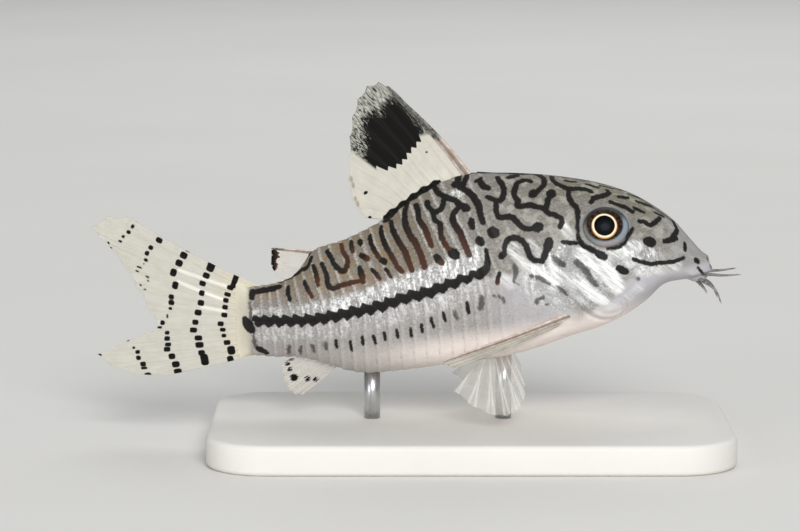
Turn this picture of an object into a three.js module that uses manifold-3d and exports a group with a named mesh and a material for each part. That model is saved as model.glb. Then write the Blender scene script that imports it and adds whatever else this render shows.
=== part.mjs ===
// A three-stripe corydoras, a small armoured catfish, as a life-size still model on a plain stand.
// Millimetres, +Z up. The head points to +X and the right flank faces -Y.
// The origin is the centre of the stand's underside.
import * as THREE from "three";
import { mergeVertices } from "three/addons/utils/BufferGeometryUtils.js";
import Module from "manifold-3d";

const wasm = await Module();
wasm.setup();

const { degToRad, lerp, smoothstep } = THREE.MathUtils;

// Pose. The fish is built straight, with s the distance behind the snout, then its rear is bent along
// one arc, and the whole fish is pitched head up.
const SNOUT = { x: 22.8, z: 19.8 };
const PITCH = degToRad(10);
const BEND_START = 26;
const BEND_RADIUS = 100;
const BEND_TILT = degToRad(45); // from straight to the left, towards straight up

// Clearance between touching pieces, and the depth that a root is sunk before it is cut back.
const GAP = 0.3;
const SUNK = 1.2;

// The trunk's sections, from the lips to the root of the tail fin. half is half the width, mid the height
// of the widest line, line the height of the lateral line. roof and belly are superellipse exponents:
// 2 is an ellipse, less is pointed and more is square.
const STATIONS = [
  { name: "lips", s: -0.85, top: -0.5, bottom: -2.0, half: 0.75, mid: -1.2, line: -1.1, roof: 2.0, belly: 2.0 },
  { name: "snout", s: -0.3, top: 0.1, bottom: -2.45, half: 1.4, mid: -1.2, line: -0.8, roof: 2.0, belly: 2.0 },
  { name: "muzzle", s: 0.5, top: 1.4, bottom: -2.55, half: 2.05, mid: -1.1, line: -0.5, roof: 2.0, belly: 2.1 },
  { name: "nostrils", s: 2.0, top: 3.75, bottom: -2.35, half: 2.95, mid: -0.8, line: 0.0, roof: 1.95, belly: 2.2 },
  { name: "cheek", s: 4.0, top: 5.75, bottom: -2.45, half: 3.8, mid: -0.7, line: 0.5, roof: 1.9, belly: 2.2 },
  { name: "brow", s: 6.0, top: 7.25, bottom: -3.75, half: 4.5, mid: -0.9, line: 0.9, roof: 1.88, belly: 2.3 },
  { name: "eye", s: 8.5, top: 8.55, bottom: -4.85, half: 5.15, mid: -1.3, line: 1.3, roof: 1.85, belly: 2.5 },
  { name: "gill", s: 11.0, top: 9.5, bottom: -5.45, half: 5.65, mid: -1.8, line: 1.6, roof: 1.8, belly: 2.7 },
  { name: "shoulder", s: 14.0, top: 10.4, bottom: -5.8, half: 5.95, mid: -2.2, line: 1.8, roof: 1.72, belly: 2.8 },
  { name: "chest", s: 18.0, top: 11.3, bottom: -6.5, half: 5.9, mid: -2.5, line: 1.9, roof: 1.66, belly: 2.8 },
  { name: "dorsal root", s: 21.5, top: 11.8, bottom: -6.8, half: 5.7, mid: -2.6, line: 1.8, roof: 1.65, belly: 2.7 },
  { name: "flank", s: 26.0, top: 10.8, bottom: -6.6, half: 5.2, mid: -2.5, line: 1.0, roof: 1.68, belly: 2.6 },
  { name: "behind dorsal", s: 31.0, top: 8.5, bottom: -6.6, half: 4.4, mid: -2.1, line: 0.2, roof: 1.72, belly: 2.4 },
  { name: "vent", s: 35.0, top: 7.1, bottom: -6.4, half: 3.6, mid: -1.6, line: -0.2, roof: 1.75, belly: 2.2 },
  { name: "adipose root", s: 38.6, top: 6.2, bottom: -5.1, half: 2.9, mid: -1.0, line: -0.5, roof: 1.8, belly: 2.0 },
  { name: "behind adipose", s: 39.8, top: 4.75, bottom: -4.65, half: 2.6, mid: -0.8, line: -0.55, roof: 1.85, belly: 2.0 },
  { name: "tail stalk", s: 41.0, top: 3.7, bottom: -4.4, half: 2.3, mid: -0.6, line: -0.6, roof: 1.9, belly: 2.0 },
  { name: "thin stalk", s: 43.0, top: 3.1, bottom: -4.3, half: 1.9, mid: -0.5, line: -0.5, roof: 2.0, belly: 2.0 },
  { name: "tail fin root", s: 45.5, top: 2.85, bottom: -4.05, half: 1.35, mid: -0.4, line: -0.4, roof: 2.0, belly: 2.0 },
];
const HEAD_END = 15.6;
const HEAD_RINGS = [-0.85, -0.6, -0.25, 0.3, 1, 1.9, 2.9, 4, 5.1, 6.2, 7.3, 8.4, 9.5, 10.6, 11.7, 12.8, 13.9, 14.8];
const NOSE_TIP = -0.95;

// Body plates. They overlap like tiles in an upper and a lower row on each flank, each plate's rear edge
// raised, and the edges lean back above and below the lateral line.
const SCUTES = 24;
const SCUTE_FIRST = 16.4;
const SCUTE_LAST = 45.2;
const SCUTE_TAPER = 0.85; // the last plate's length over the first one's
const SCUTE_RISE = 0.26;
const SCUTE_EDGE = 0.07; // half the length of the step behind a plate
const SCUTE_LEAN = 0.28;
const LEAN_BELOW = 0.3; // the lean below the lateral line over the one above it
const LEAN_IN = 4; // the lean grows over this length behind the head
const TAIL_SCUTE = 15; // the first plate of the tail
const BARE_END = 33; // the belly is bare skin up to here
const ROWS_ABOVE = 7;
const ROWS_BELOW = 8;
const SEAM_HALF = 0.3; // the seam between the two rows of plates, either side of the lateral line

// The trunk's surface
// Value of one of the stations' sizes at s, on a smooth curve through the stations.
function sizeAt(key, s) {
  const last = STATIONS.length - 1;
  let i = 0;
  while (i < last - 1 && s > STATIONS[i + 1].s) i++;
  const slope = (a, b) => (STATIONS[b][key] - STATIONS[a][key]) / (STATIONS[b].s - STATIONS[a].s);
  const span = STATIONS[i + 1].s - STATIONS[i].s;
  const from = i > 0 ? slope(i - 1, i + 1) : slope(0, 1);
  const to = i + 1 < last ? slope(i, i + 2) : slope(last - 1, last);
  const t = THREE.MathUtils.clamp((s - STATIONS[i].s) / span, 0, 1);
  const a = 2 * t ** 3 - 3 * t ** 2 + 1;
  const b = t ** 3 - 2 * t ** 2 + t;
  const c = -2 * t ** 3 + 3 * t ** 2;
  const d = t ** 3 - t ** 2;
  return a * STATIONS[i][key] + b * span * from + c * STATIONS[i + 1][key] + d * span * to;
}

// The section at s: its half height above or below the widest line, that line's height, and its exponent.
function sectionAt(s, above) {
  const mid = sizeAt("mid", s);
  return {
    half: sizeAt("half", s),
    mid,
    tall: above ? sizeAt("top", s) - mid : mid - sizeAt("bottom", s),
    power: sizeAt(above ? "roof" : "belly", s),
  };
}

// Point of the section at s whose angle from straight up is turn, lifted off the surface.
function rim(s, turn, lift = 0) {
  const above = turn <= Math.PI / 2;
  const { half, mid, tall, power } = sectionAt(s, above);
  const across = Math.sin(turn) ** (2 / power);
  const up = Math.abs(Math.cos(turn)) ** (2 / power);
  const normal = new THREE.Vector2(across ** (power - 1) / half, (above ? 1 : -1) * up ** (power - 1) / tall);
  normal.normalize();
  return { y: half * across + normal.x * lift, z: mid + (above ? up : -up) * tall + normal.y * lift };
}

// The angle at which the section at s passes the height z.
function turnAt(s, z) {
  const above = z >= sizeAt("mid", s);
  const { mid, tall, power } = sectionAt(s, above);
  const share = Math.min(Math.abs(z - mid) / tall, 1);
  const turn = Math.acos(share ** (power / 2));
  return above ? turn : Math.PI - turn;
}

// A point on the flank at s and the height z, lifted off the surface. side is 1 on the left, -1 on the right.
function flank(s, z, lift, side) {
  const p = rim(s, turnAt(s, z), lift);
  return new THREE.Vector3(-s, side * p.y, p.z);
}

// Plate edges along the lateral line, from the first plate's front to the last one's rear.
function scuteEdges() {
  const lengths = Array.from({ length: SCUTES }, (_, i) => lerp(1, SCUTE_TAPER, i / (SCUTES - 1)));
  const scale = (SCUTE_LAST - SCUTE_FIRST) / lengths.reduce((a, b) => a + b);
  let s = SCUTE_FIRST;
  return [s, ...lengths.map((length) => (s += length * scale))];
}

// One ring of the trunk, as points from the back round the left side to the belly, then up the right side.
// raised is the share of the plates' rise at this ring.
function ring(q, raised, grown) {
  const line = sizeAt("line", q);
  const seam = turnAt(q, line);
  const seamHalf = seam - turnAt(q, line + SEAM_HALF);
  const turns = [];
  for (let i = 0; i < ROWS_ABOVE; i++) turns.push(((seam - seamHalf) * i) / (ROWS_ABOVE - 1));
  turns.push(seam);
  for (let i = 0; i < ROWS_BELOW; i++) {
    turns.push(lerp(seam + seamHalf, Math.PI, i / (ROWS_BELOW - 1)));
  }
  const lean = SCUTE_LEAN * smoothstep(q, HEAD_END + 0.2, HEAD_END + LEAN_IN) *
    (1 - smoothstep(q, SCUTE_LAST - LEAN_IN, SCUTE_LAST));
  const bare = smoothstep(q, HEAD_END, BARE_END);
  const side = turns.map((turn) => {
    const height = rim(q, turn).z;
    const s = q + (height > line ? lean : -LEAN_BELOW * lean) * (height - line);
    const seamed = turn === seam ? 0.25 : 1;
    const belly = 1 - smoothstep(turn, 2.2, 2.75) * (1 - bare);
    const p = rim(s, turn, raised * SCUTE_RISE * seamed * belly + grown);
    return { s, ...p };
  });
  const left = side.map((p) => new THREE.Vector3(-p.s, p.y, p.z));
  const right = side.slice(1, -1).reverse().map((p) => new THREE.Vector3(-p.s, -p.y, p.z));
  return [...left, ...right];
}

// Closed solids
function geometryOf(points, faces) {
  const geometry = new THREE.BufferGeometry().setFromPoints(points);
  geometry.setIndex(faces);
  return geometry;
}

function solidOf(geometry) {
  const bare = geometry.clone();
  for (const name of Object.keys(bare.attributes)) if (name !== "position") bare.deleteAttribute(name);
  const merged = mergeVertices(bare, 1e-4);
  return new wasm.Manifold(
    new wasm.Mesh({
      numProp: 3,
      vertProperties: new Float32Array(merged.attributes.position.array),
      triVerts: new Uint32Array(merged.index.array),
    }),
  );
}

// A skin over rings of equally many points, closed by a point at each end. The rings run clockwise as
// seen from the first end.
function loft(rings, first, last) {
  const n = rings[0].length;
  const points = [first, ...rings.flat(), last];
  const faces = [];
  const at = (r, k) => 1 + r * n + (k % n);
  for (let k = 0; k < n; k++) {
    faces.push(0, at(0, k), at(0, k + 1));
    for (let r = 0; r + 1 < rings.length; r++) {
      faces.push(at(r, k), at(r + 1, k), at(r + 1, k + 1), at(r, k), at(r + 1, k + 1), at(r, k + 1));
    }
    faces.push(points.length - 1, at(rings.length - 1, k + 1), at(rings.length - 1, k));
  }
  return outwards(geometryOf(points, faces));
}

// The solid of a closed geometry, turned inside out first if its faces point inwards.
function outwards(geometry) {
  const solid = solidOf(geometry);
  if (solid.volume() > 0) return solid;
  const flipped = geometry.index.array.slice();
  for (let i = 0; i < flipped.length; i += 3) [flipped[i + 1], flipped[i + 2]] = [flipped[i + 2], flipped[i + 1]];
  geometry.setIndex(new THREE.BufferAttribute(flipped, 1));
  return solidOf(geometry);
}

// A round tube along a curve, closed and rounded at both ends. radiusAt gives the radius at a share of it.
function tube(curve, radiusAt, sides, steps) {
  const rings = [];
  let across = new THREE.Vector3(0, 1, 0);
  for (let i = 0; i <= steps; i++) {
    const t = i / steps;
    const along = curve.getTangentAt(t);
    across = across.clone().addScaledVector(along, -across.dot(along)).normalize();
    const up = along.clone().cross(across);
    const centre = curve.getPointAt(t);
    rings.push(
      Array.from({ length: sides }, (_, k) => {
        const turn = (2 * Math.PI * k) / sides;
        return centre.clone().addScaledVector(across, Math.cos(turn) * radiusAt(t))
          .addScaledVector(up, Math.sin(turn) * radiusAt(t));
      }),
    );
  }
  const cap = (t, way) => curve.getPointAt(t).addScaledVector(curve.getTangentAt(t), way * radiusAt(t) * 0.6);
  return loft(rings, cap(0, -1), cap(1, 1));
}

// A sheet with a thickness: columns of mid-sheet points, each with half its thickness there. Both faces
// are split into the same triangles.
function sheet(columns, halfAt) {
  const wide = columns.length;
  const tall = columns[0].length;
  const normalAt = (c, r) => {
    const a = columns[Math.min(c + 1, wide - 1)][r].clone().sub(columns[Math.max(c - 1, 0)][r]);
    const b = columns[c][Math.min(r + 1, tall - 1)].clone().sub(columns[c][Math.max(r - 1, 0)]);
    return a.cross(b).normalize();
  };
  const points = [];
  for (const way of [1, -1]) {
    for (let c = 0; c < wide; c++) {
      for (let r = 0; r < tall; r++) {
        points.push(columns[c][r].clone().addScaledVector(normalAt(c, r), way * halfAt(c, r)));
      }
    }
  }
  const near = (c, r) => c * tall + r;
  const far = (c, r) => wide * tall + near(c, r);
  const faces = [];
  for (let c = 0; c + 1 < wide; c++) {
    for (let r = 0; r + 1 < tall; r++) {
      faces.push(near(c, r), near(c + 1, r), near(c + 1, r + 1), near(c, r), near(c + 1, r + 1), near(c, r + 1));
      faces.push(far(c, r), far(c + 1, r + 1), far(c + 1, r), far(c, r), far(c, r + 1), far(c + 1, r + 1));
    }
  }
  const edge = [];
  for (let c = 0; c < wide; c++) edge.push([c, 0]);
  for (let r = 1; r < tall; r++) edge.push([wide - 1, r]);
  for (let c = wide - 2; c >= 0; c--) edge.push([c, tall - 1]);
  for (let r = tall - 2; r > 0; r--) edge.push([0, r]);
  edge.forEach(([c, r], i) => {
    const [c2, r2] = edge[(i + 1) % edge.length];
    faces.push(near(c, r), far(c, r), far(c2, r2), near(c, r), far(c2, r2), near(c2, r2));
  });
  return outwards(geometryOf(points, faces));
}

// Keeps the largest closed piece.
const largest = (solid) => solid.decompose().sort((a, b) => b.volume() - a.volume())[0];

// The trunk in three lengths
const EDGES = scuteEdges();

function platedRings(from, to, grown) {
  const rings = [];
  for (let i = from; i < to; i++) {
    rings.push(ring(EDGES[i] + SCUTE_EDGE, 0.1, grown), ring(EDGES[i + 1] - SCUTE_EDGE, 1, grown));
  }
  return rings;
}

const core = (s) => new THREE.Vector3(-s, 0, sizeAt("line", s));

function headLoft(grown) {
  const rings = [...HEAD_RINGS, HEAD_END].map((s) => ring(s, 0, grown));
  return loft(rings, core(NOSE_TIP - grown), core(HEAD_END));
}

function torsoLoft() {
  const rings = [ring(HEAD_END + GAP, 0, 0), ...platedRings(0, TAIL_SCUTE, 0)];
  const end = EDGES[TAIL_SCUTE] - GAP / 2;
  rings[rings.length - 1] = ring(end, 1, 0);
  return loft(rings, core(HEAD_END + GAP), core(end));
}

function tailLoft() {
  const start = EDGES[TAIL_SCUTE] + GAP / 2;
  const rings = platedRings(TAIL_SCUTE, SCUTES, 0);
  rings[0] = ring(start, 0.1, 0);
  rings.push(ring(SCUTE_LAST + GAP, 0, 0));
  return loft(rings, core(start), core(SCUTE_LAST + GAP));
}

// The whole trunk with its skin moved out by grown, which cuts back all that grows from it.
function trunkGrown(grown) {
  const rings = [...HEAD_RINGS.map((s) => ring(s, 0, grown)), ...platedRings(0, SCUTES, grown)];
  rings.push(ring(SCUTE_LAST + GAP, 0, grown));
  return loft(rings, core(NOSE_TIP - grown), core(SCUTE_LAST + 2 * GAP));
}

// Eyes
const EYE = {
  s: 8.83,
  z: 4.68,
  long: 2.4,
  tall: 2.15,
  bulge: 1.5,
  sunk: 0.72,
  forward: degToRad(9),
  up: degToRad(20),
};
const ORBIT_RIM = { out: 0.17, thick: 0.32, proud: -0.08 };

// Turns a piece made round +Z, with its length along +X, to look out of the eye on that side. Its middle is
// off the skin by proud.
function eyeFrame(side, proud) {
  const out = new THREE.Vector3(
    Math.sin(EYE.forward),
    side * Math.cos(EYE.forward) * Math.cos(EYE.up),
    Math.sin(EYE.up),
  ).normalize();
  const along = new THREE.Vector3(1, 0, 0).addScaledVector(out, -out.x).normalize();
  const at = flank(EYE.s, EYE.z, 0, side).addScaledVector(out, proud);
  return new THREE.Matrix4().makeBasis(along, out.clone().cross(along), out).setPosition(at);
}

function eyeball(side, grown) {
  const ball = new THREE.SphereGeometry(1, 20, 14);
  ball.scale(EYE.long + grown, EYE.tall + grown, EYE.bulge + grown);
  return outwards(ball.applyMatrix4(eyeFrame(side, -EYE.sunk)));
}

function orbitRim(side) {
  const long = EYE.long + ORBIT_RIM.out;
  const rimRing = new THREE.TorusGeometry(long, ORBIT_RIM.thick, 6, 24);
  rimRing.scale(1, (EYE.tall + ORBIT_RIM.out) / long, 1);
  return outwards(rimRing.applyMatrix4(eyeFrame(side, ORBIT_RIM.proud)));
}

// Gill covers: a rounded plate behind and below each eye
const GILL = {
  bottom: -4.1,
  top: 3.4,
  frontLow: 8.3,
  frontHigh: 11.9,
  rearLow: 10.6,
  rearHigh: 12.6,
  bulge: 2.1,
  proud: 0.3,
  inside: 0.55,
  columns: 7,
  rows: 8,
};

function gillPlate(side, grown) {
  const outer = grown ? 2 : GILL.proud;
  const inner = GILL.inside + grown;
  const columns = [];
  for (let c = 0; c < GILL.columns; c++) {
    const across = c / (GILL.columns - 1);
    const column = [];
    for (let r = 0; r < GILL.rows; r++) {
      const up = r / (GILL.rows - 1);
      const front = lerp(GILL.frontLow, GILL.frontHigh, up) - 0.8 * Math.sin(Math.PI * up) - grown;
      const rear = lerp(GILL.rearLow, GILL.rearHigh, up) + GILL.bulge * Math.sin(Math.PI * up) ** 0.8 + grown;
      const z = lerp(GILL.bottom - grown, GILL.top + grown, up);
      column.push({ s: lerp(front, rear, across), z });
    }
    columns.push(column);
  }
  const points = [];
  for (const lift of [outer, -inner]) {
    columns.forEach((column, c) =>
      column.forEach((p, r) => {
        const rounding = Math.sin((Math.PI * c) / (GILL.columns - 1)) * Math.sin((Math.PI * r) / (GILL.rows - 1));
        const crowned = lift > 0 && !grown ? lift * (0.45 + 0.55 * Math.sqrt(rounding)) : lift;
        points.push(flank(p.s, p.z, crowned, side));
      }),
    );
  }
  const n = GILL.rows;
  const out = (c, r) => c * n + r;
  const back = (c, r) => GILL.columns * n + out(c, r);
  const faces = [];
  for (let c = 0; c + 1 < GILL.columns; c++) {
    for (let r = 0; r + 1 < n; r++) {
      faces.push(out(c, r), out(c + 1, r), out(c + 1, r + 1), out(c, r), out(c + 1, r + 1), out(c, r + 1));
      faces.push(back(c, r), back(c + 1, r + 1), back(c + 1, r), back(c, r), back(c, r + 1), back(c + 1, r + 1));
    }
  }
  const edge = [];
  for (let c = 0; c < GILL.columns; c++) edge.push([c, 0]);
  for (let r = 1; r < n; r++) edge.push([GILL.columns - 1, r]);
  for (let c = GILL.columns - 2; c >= 0; c--) edge.push([c, n - 1]);
  for (let r = n - 2; r > 0; r--) edge.push([0, r]);
  edge.forEach(([c, r], i) => {
    const [c2, r2] = edge[(i + 1) % edge.length];
    faces.push(out(c, r), back(c, r), back(c2, r2), out(c, r), back(c2, r2), out(c2, r2));
  });
  return outwards(geometryOf(points, faces));
}

// Mouth: an upper and a lower lip round the front of the muzzle, with the slit between them
const MOUTH = { middle: 0.85, reach: 1.45, half: 1.25, slit: -2.2, slitHigh: 0.3, upper: -1.7, lower: -2.72, lip: 0.4 };

function lip(height, forward, thick) {
  const arc = new THREE.CatmullRomCurve3(
    [-1, -0.6, 0, 0.6, 1].map((t) => {
      const turn = (t * Math.PI) / 2;
      const along = (MOUTH.reach + forward) * Math.cos(turn) - MOUTH.middle;
      return new THREE.Vector3(along, MOUTH.half * Math.sin(turn), height);
    }),
  );
  return tube(arc, () => thick, 8, 10);
}

function mouthSlit() {
  const slit = new THREE.CylinderGeometry(1, 1, MOUTH.slitHigh, 20);
  slit.rotateX(Math.PI / 2);
  slit.scale(MOUTH.reach + 0.9, MOUTH.half + 0.7, 1);
  slit.translate(-MOUTH.middle, 0, MOUTH.slit);
  return outwards(slit);
}

// Nostrils: a short raised tube on each side of the muzzle, with a pit in it
const NOSTRIL = { s: 3.0, z: 3.1, rim: 0.42, wall: 0.17, pit: 0.26, deep: 0.5 };

function nostrilAt(side) {
  const at = flank(NOSTRIL.s, NOSTRIL.z, 0, side);
  const out = flank(NOSTRIL.s, NOSTRIL.z, 1, side).sub(at).normalize();
  const turn = new THREE.Quaternion().setFromUnitVectors(new THREE.Vector3(0, 0, 1), out);
  return new THREE.Matrix4().compose(at, turn, new THREE.Vector3(1, 1, 1));
}

function nostrilRim(side) {
  return outwards(new THREE.TorusGeometry(NOSTRIL.rim, NOSTRIL.wall, 6, 12).applyMatrix4(nostrilAt(side)));
}

function nostrilPit(side) {
  const pit = new THREE.CylinderGeometry(NOSTRIL.pit, NOSTRIL.pit, 2 * NOSTRIL.deep, 10).rotateX(Math.PI / 2);
  return outwards(pit.applyMatrix4(nostrilAt(side)));
}

// Barbels: two at each corner of the mouth and a pair under the chin, as points behind the snout
const BARBELS = [
  { name: "barbel_upper", root: [0.3, 0.9, -2.0], middle: [-1.9, 1.75, -2.45], tip: [-3.7, 2.3, -2.6], thick: 0.62 },
  { name: "barbel_lower", root: [0.4, 1.0, -2.5], middle: [-0.9, 1.75, -3.7], tip: [-1.3, 2.1, -5.2], thick: 0.62 },
  { name: "barbel_chin", root: [0.7, 0.5, -2.6], middle: [0.1, 0.7, -3.5], tip: [-0.15, 0.85, -4.1], thick: 0.58 },
];
const BARBEL_TIP = 0.3; // the tip's thickness over the root's

function barbel({ root, middle, tip, thick }, side) {
  const points = [root, middle, tip].map(([s, y, z]) => new THREE.Vector3(-s, side * y, z));
  const line = new THREE.CatmullRomCurve3(points);
  return tube(line, (t) => (thick / 2) * lerp(1, BARBEL_TIP, t), 8, 8);
}

// Fins. A fin is a fan of rays between a line of roots and a line of tips, given in order as [s, y, z].
// Every other column of the sheet is a ray, raised on the membrane, and the first is the spine if there is one.
const WEB = 0.5; // the membrane's thickness
const RAY = 0.82; // a ray's thickness at its root
const FINS = {
  dorsal_fin: {
    roots: [[21.7, 0, 11.9], [24.2, 0, 11.3], [26.6, 0, 10.6], [28.8, 0, 9.6], [30.9, 0, 8.5]],
    tips: [
      [28.0, 0, 21.75], [29.0, 0.05, 22.3], [30.4, 0.1, 22.05], [31.7, 0.2, 20.9], [32.6, 0.25, 19.2],
      [33.2, 0.3, 17.2], [33.6, 0.3, 15.1], [33.9, 0.25, 13.0], [33.7, 0.15, 10.9], [32.7, 0.05, 9.0],
    ],
    rays: 9,
    steps: 7,
    spine: 1.25,
    arch: [-0.5, 0],
  },
  adipose_fin: {
    roots: [[38.9, 0, 6.15], [39.6, 0, 5.3], [40.6, 0, 4.1], [41.7, 0, 3.5]],
    tips: [[42.8, 0, 6.9], [42.95, 0, 5.8], [42.8, 0, 4.7], [42.3, 0, 3.8]],
    rays: 3,
    steps: 4,
    spine: 0.9,
    arch: [0, 0],
  },
  anal_fin: {
    roots: [[37.2, 0, -5.7], [38.3, 0, -5.2], [39.4, 0, -4.7], [40.5, 0, -4.35]],
    tips: [[40.8, 0, -8.4], [41.7, 0, -8.2], [42.3, 0, -7.3], [42.6, 0, -6.2], [42.6, 0, -5.3], [42.3, 0, -4.8]],
    rays: 7,
    steps: 5,
    spine: 0.9,
    arch: [0, 0],
  },
};
const CAUDAL = {
  base: 45.8,
  rootThick: 2.0,
  rootLength: 0.16, // share of the fin's length over which its root thins
  rays: 8,
  steps: 8,
  upper: {
    roots: [[0, -0.25], [0, 1.0], [0, 2.3], [-0.5, 3.5]],
    tips: [
      [55.2, -1.35], [56.2, 0.6], [57.4, 2.6], [59.0, 4.7], [60.6, 6.5], [62.7, 8.1], [61.8, 9.2], [58.6, 9.65],
    ],
  },
  lower: {
    roots: [[0, -0.55], [0, -1.8], [0, -3.1], [-0.4, -4.25]],
    tips: [
      [55.2, -1.65], [56.3, -2.15], [58.1, -3.1], [59.8, -3.95], [61.1, -4.85], [59.7, -5.9], [57.3, -6.55],
      [54.2, -6.5],
    ],
  },
};
// Paired fins, on the left side: the spine or first ray is the leading edge
const PELVIC = {
  roots: [[20.2, 2.6, -6.2], [21.3, 2.75, -6.2], [22.3, 2.8, -6.2], [23.3, 2.8, -6.2]],
  tips: [
    [19.3, 4.9, -9.2], [19.7, 6.0, -10.7], [20.8, 6.7, -11.6], [22.5, 6.8, -11.7], [24.6, 6.2, -10.6],
    [26.4, 5.2, -8.7],
  ],
  rays: 6,
  steps: 6,
  spine: 0.85,
  arch: [0, 0.7],
};
const PECTORAL = {
  roots: [[12.9, 5.2, -3.0], [13.2, 5.15, -3.25], [13.5, 5.1, -3.5], [13.8, 5.05, -3.75]],
  tips: [[26.9, 7.2, -5.2], [26.9, 7.1, -5.75], [26.4, 7.0, -6.2], [25.4, 6.9, -6.35]],
  rays: 4,
  steps: 7,
  spine: 0.95,
  arch: [0, 0.75],
};

// A smooth line through points, read by a share from 0 to 1 in which each point counts alike.
function lineThrough(points) {
  const curve = new THREE.CatmullRomCurve3(points.map((p) => new THREE.Vector3(-p[0], p[1], p[2])));
  return (share) => curve.getPoint(share);
}

// arch is how far the rays bow: first back along the body at mid-ray, then outwards.
function finSolid({ roots, tips, rays, steps, spine, arch }, side = 1) {
  const rootAt = lineThrough(roots);
  const tipAt = lineThrough(tips);
  const columns = [];
  const last = 2 * (rays - 1);
  for (let c = 0; c <= last; c++) {
    const share = c / last;
    const root = rootAt(share);
    const tip = tipAt(share);
    const inward = tip.clone().sub(root).normalize().multiplyScalar(-SUNK);
    const start = root.clone().add(inward);
    const notch = c % 2 ? 0.965 : 1;
    columns.push(
      Array.from({ length: steps + 1 }, (_, r) => {
        const t = (r / steps) * notch;
        const p = start.clone().lerp(tip, t);
        const bow = Math.sin(Math.PI * t);
        p.x -= arch[0] * bow;
        p.y = side * (p.y + arch[1] * bow);
        return p;
      }),
    );
  }
  return sheet(columns, (c, r) => {
    const t = r / steps;
    if (c === 0) return (spine / 2) * lerp(1, 0.5, t);
    return c % 2 ? WEB / 2 : (RAY / 2) * lerp(1, WEB / RAY, t);
  });
}

function caudalLobe({ roots, tips }) {
  const rootAt = lineThrough(roots.map(([s, z]) => [CAUDAL.base + s, 0, z]));
  const tipAt = lineThrough(tips.map(([s, z]) => [s, 0, z]));
  const last = 2 * (CAUDAL.rays - 1);
  const columns = [];
  for (let c = 0; c <= last; c++) {
    const root = rootAt(c / last);
    const tip = tipAt(c / last);
    const notch = c % 2 ? 0.98 : 1;
    columns.push(
      Array.from({ length: CAUDAL.steps + 1 }, (_, r) => {
        const t = (r / CAUDAL.steps) ** 1.25 * notch;
        return root.clone().lerp(tip, t);
      }),
    );
  }
  return sheet(columns, (c, r) => {
    const t = (r / CAUDAL.steps) ** 1.25;
    const root = 1 - smoothstep(t, 0, CAUDAL.rootLength);
    const thin = c % 2 ? WEB : lerp(RAY, WEB, t);
    return lerp(thin, CAUDAL.rootThick, root) / 2;
  });
}

// Stand: a flat base with rounded corners and two rods up to the belly
const BASE = { long: 52, wide: 30, high: 3, corner: 6, chamfer: 0.5 };
const ROD = { radius: 0.8, sides: 16, front: 3.4, rear: -9.8, top: 15 };

function standBase() {
  const x = BASE.long / 2 - BASE.chamfer;
  const y = BASE.wide / 2 - BASE.chamfer;
  const r = BASE.corner;
  const outline = new THREE.Shape();
  outline.moveTo(x, -y + r);
  outline.absarc(x - r, y - r, r, 0, Math.PI / 2);
  outline.absarc(-x + r, y - r, r, Math.PI / 2, Math.PI);
  outline.absarc(-x + r, -y + r, r, Math.PI, 1.5 * Math.PI);
  outline.absarc(x - r, -y + r, r, 1.5 * Math.PI, 2 * Math.PI);
  const base = new THREE.ExtrudeGeometry(outline, {
    depth: BASE.high - 2 * BASE.chamfer,
    bevelThickness: BASE.chamfer,
    bevelSize: BASE.chamfer,
    bevelSegments: 1,
    curveSegments: 6,
  });
  return outwards(base.translate(0, 0, BASE.chamfer));
}

function standRod(x) {
  const rod = new THREE.CylinderGeometry(ROD.radius, ROD.radius, ROD.top - BASE.high - GAP, ROD.sides);
  rod.rotateX(Math.PI / 2);
  rod.translate(x, 0, (ROD.top + BASE.high + GAP) / 2);
  return outwards(rod);
}

// Bends the rear of the straight fish along its arc, as a move of one point.
function bend(p) {
  const past = -p.x - BEND_START;
  if (past <= 0) return p;
  const [left, up] = [Math.cos(BEND_TILT), Math.sin(BEND_TILT)];
  const turn = past / BEND_RADIUS;
  const reach = BEND_RADIUS - (p.y * left + p.z * up);
  const across = -p.y * up + p.z * left;
  const moved = BEND_RADIUS - reach * Math.cos(turn);
  return p.set(-BEND_START - reach * Math.sin(turn), moved * left - across * up, moved * up + across * left);
}

function geometryFrom(solid, move = (p) => p) {
  const { numProp, numVert, vertProperties, triVerts } = solid.getMesh();
  const points = [];
  for (let i = 0; i < numVert; i++) {
    points.push(move(new THREE.Vector3().fromArray(vertProperties, i * numProp)));
  }
  return geometryOf(points, Array.from(triVerts));
}

// Materials
const look = (color, roughness, metalness = 0, opacity = 1) =>
  new THREE.MeshStandardMaterial({ color, roughness, metalness, opacity, transparent: opacity < 1 });
const SKIN = look("#a9a49c", 0.4, 0.1);
const GILL_SILVER = look("#d9dad6", 0.3, 0.3);
const FIN = look("#d3ccba", 0.45, 0, 0.8);
const BARBEL = look("#8d8a86", 0.5);
const EYE_DARK = look("#15120f", 0.1);
const PLINTH = look("#e6e3dc", 0.5);
const STEEL = look("#c3c5c7", 0.3, 1);

// The scene: the fish in its pitched group, the stand in another
const fish = new THREE.Group();
fish.position.set(SNOUT.x, 0, SNOUT.z);
fish.rotation.y = -PITCH;
const stand = new THREE.Group();
const part = new THREE.Group();
part.add(fish, stand);
part.updateMatrixWorld(true);

function add(group, name, solid, material, move) {
  const mesh = new THREE.Mesh(geometryFrom(solid, move), material);
  mesh.name = name;
  group.add(mesh);
}

const SIDES = [["left", 1], ["right", -1]];
const muzzle = headLoft(0).add(lip(MOUTH.upper, 0.05, MOUTH.lip)).add(lip(MOUTH.lower, -0.1, MOUTH.lip));
const muzzleGrown = headLoft(GAP).add(lip(MOUTH.upper, 0.05, MOUTH.lip + GAP))
  .add(lip(MOUTH.lower, -0.1, MOUTH.lip + GAP));
const trunk = trunkGrown(GAP);

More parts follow.
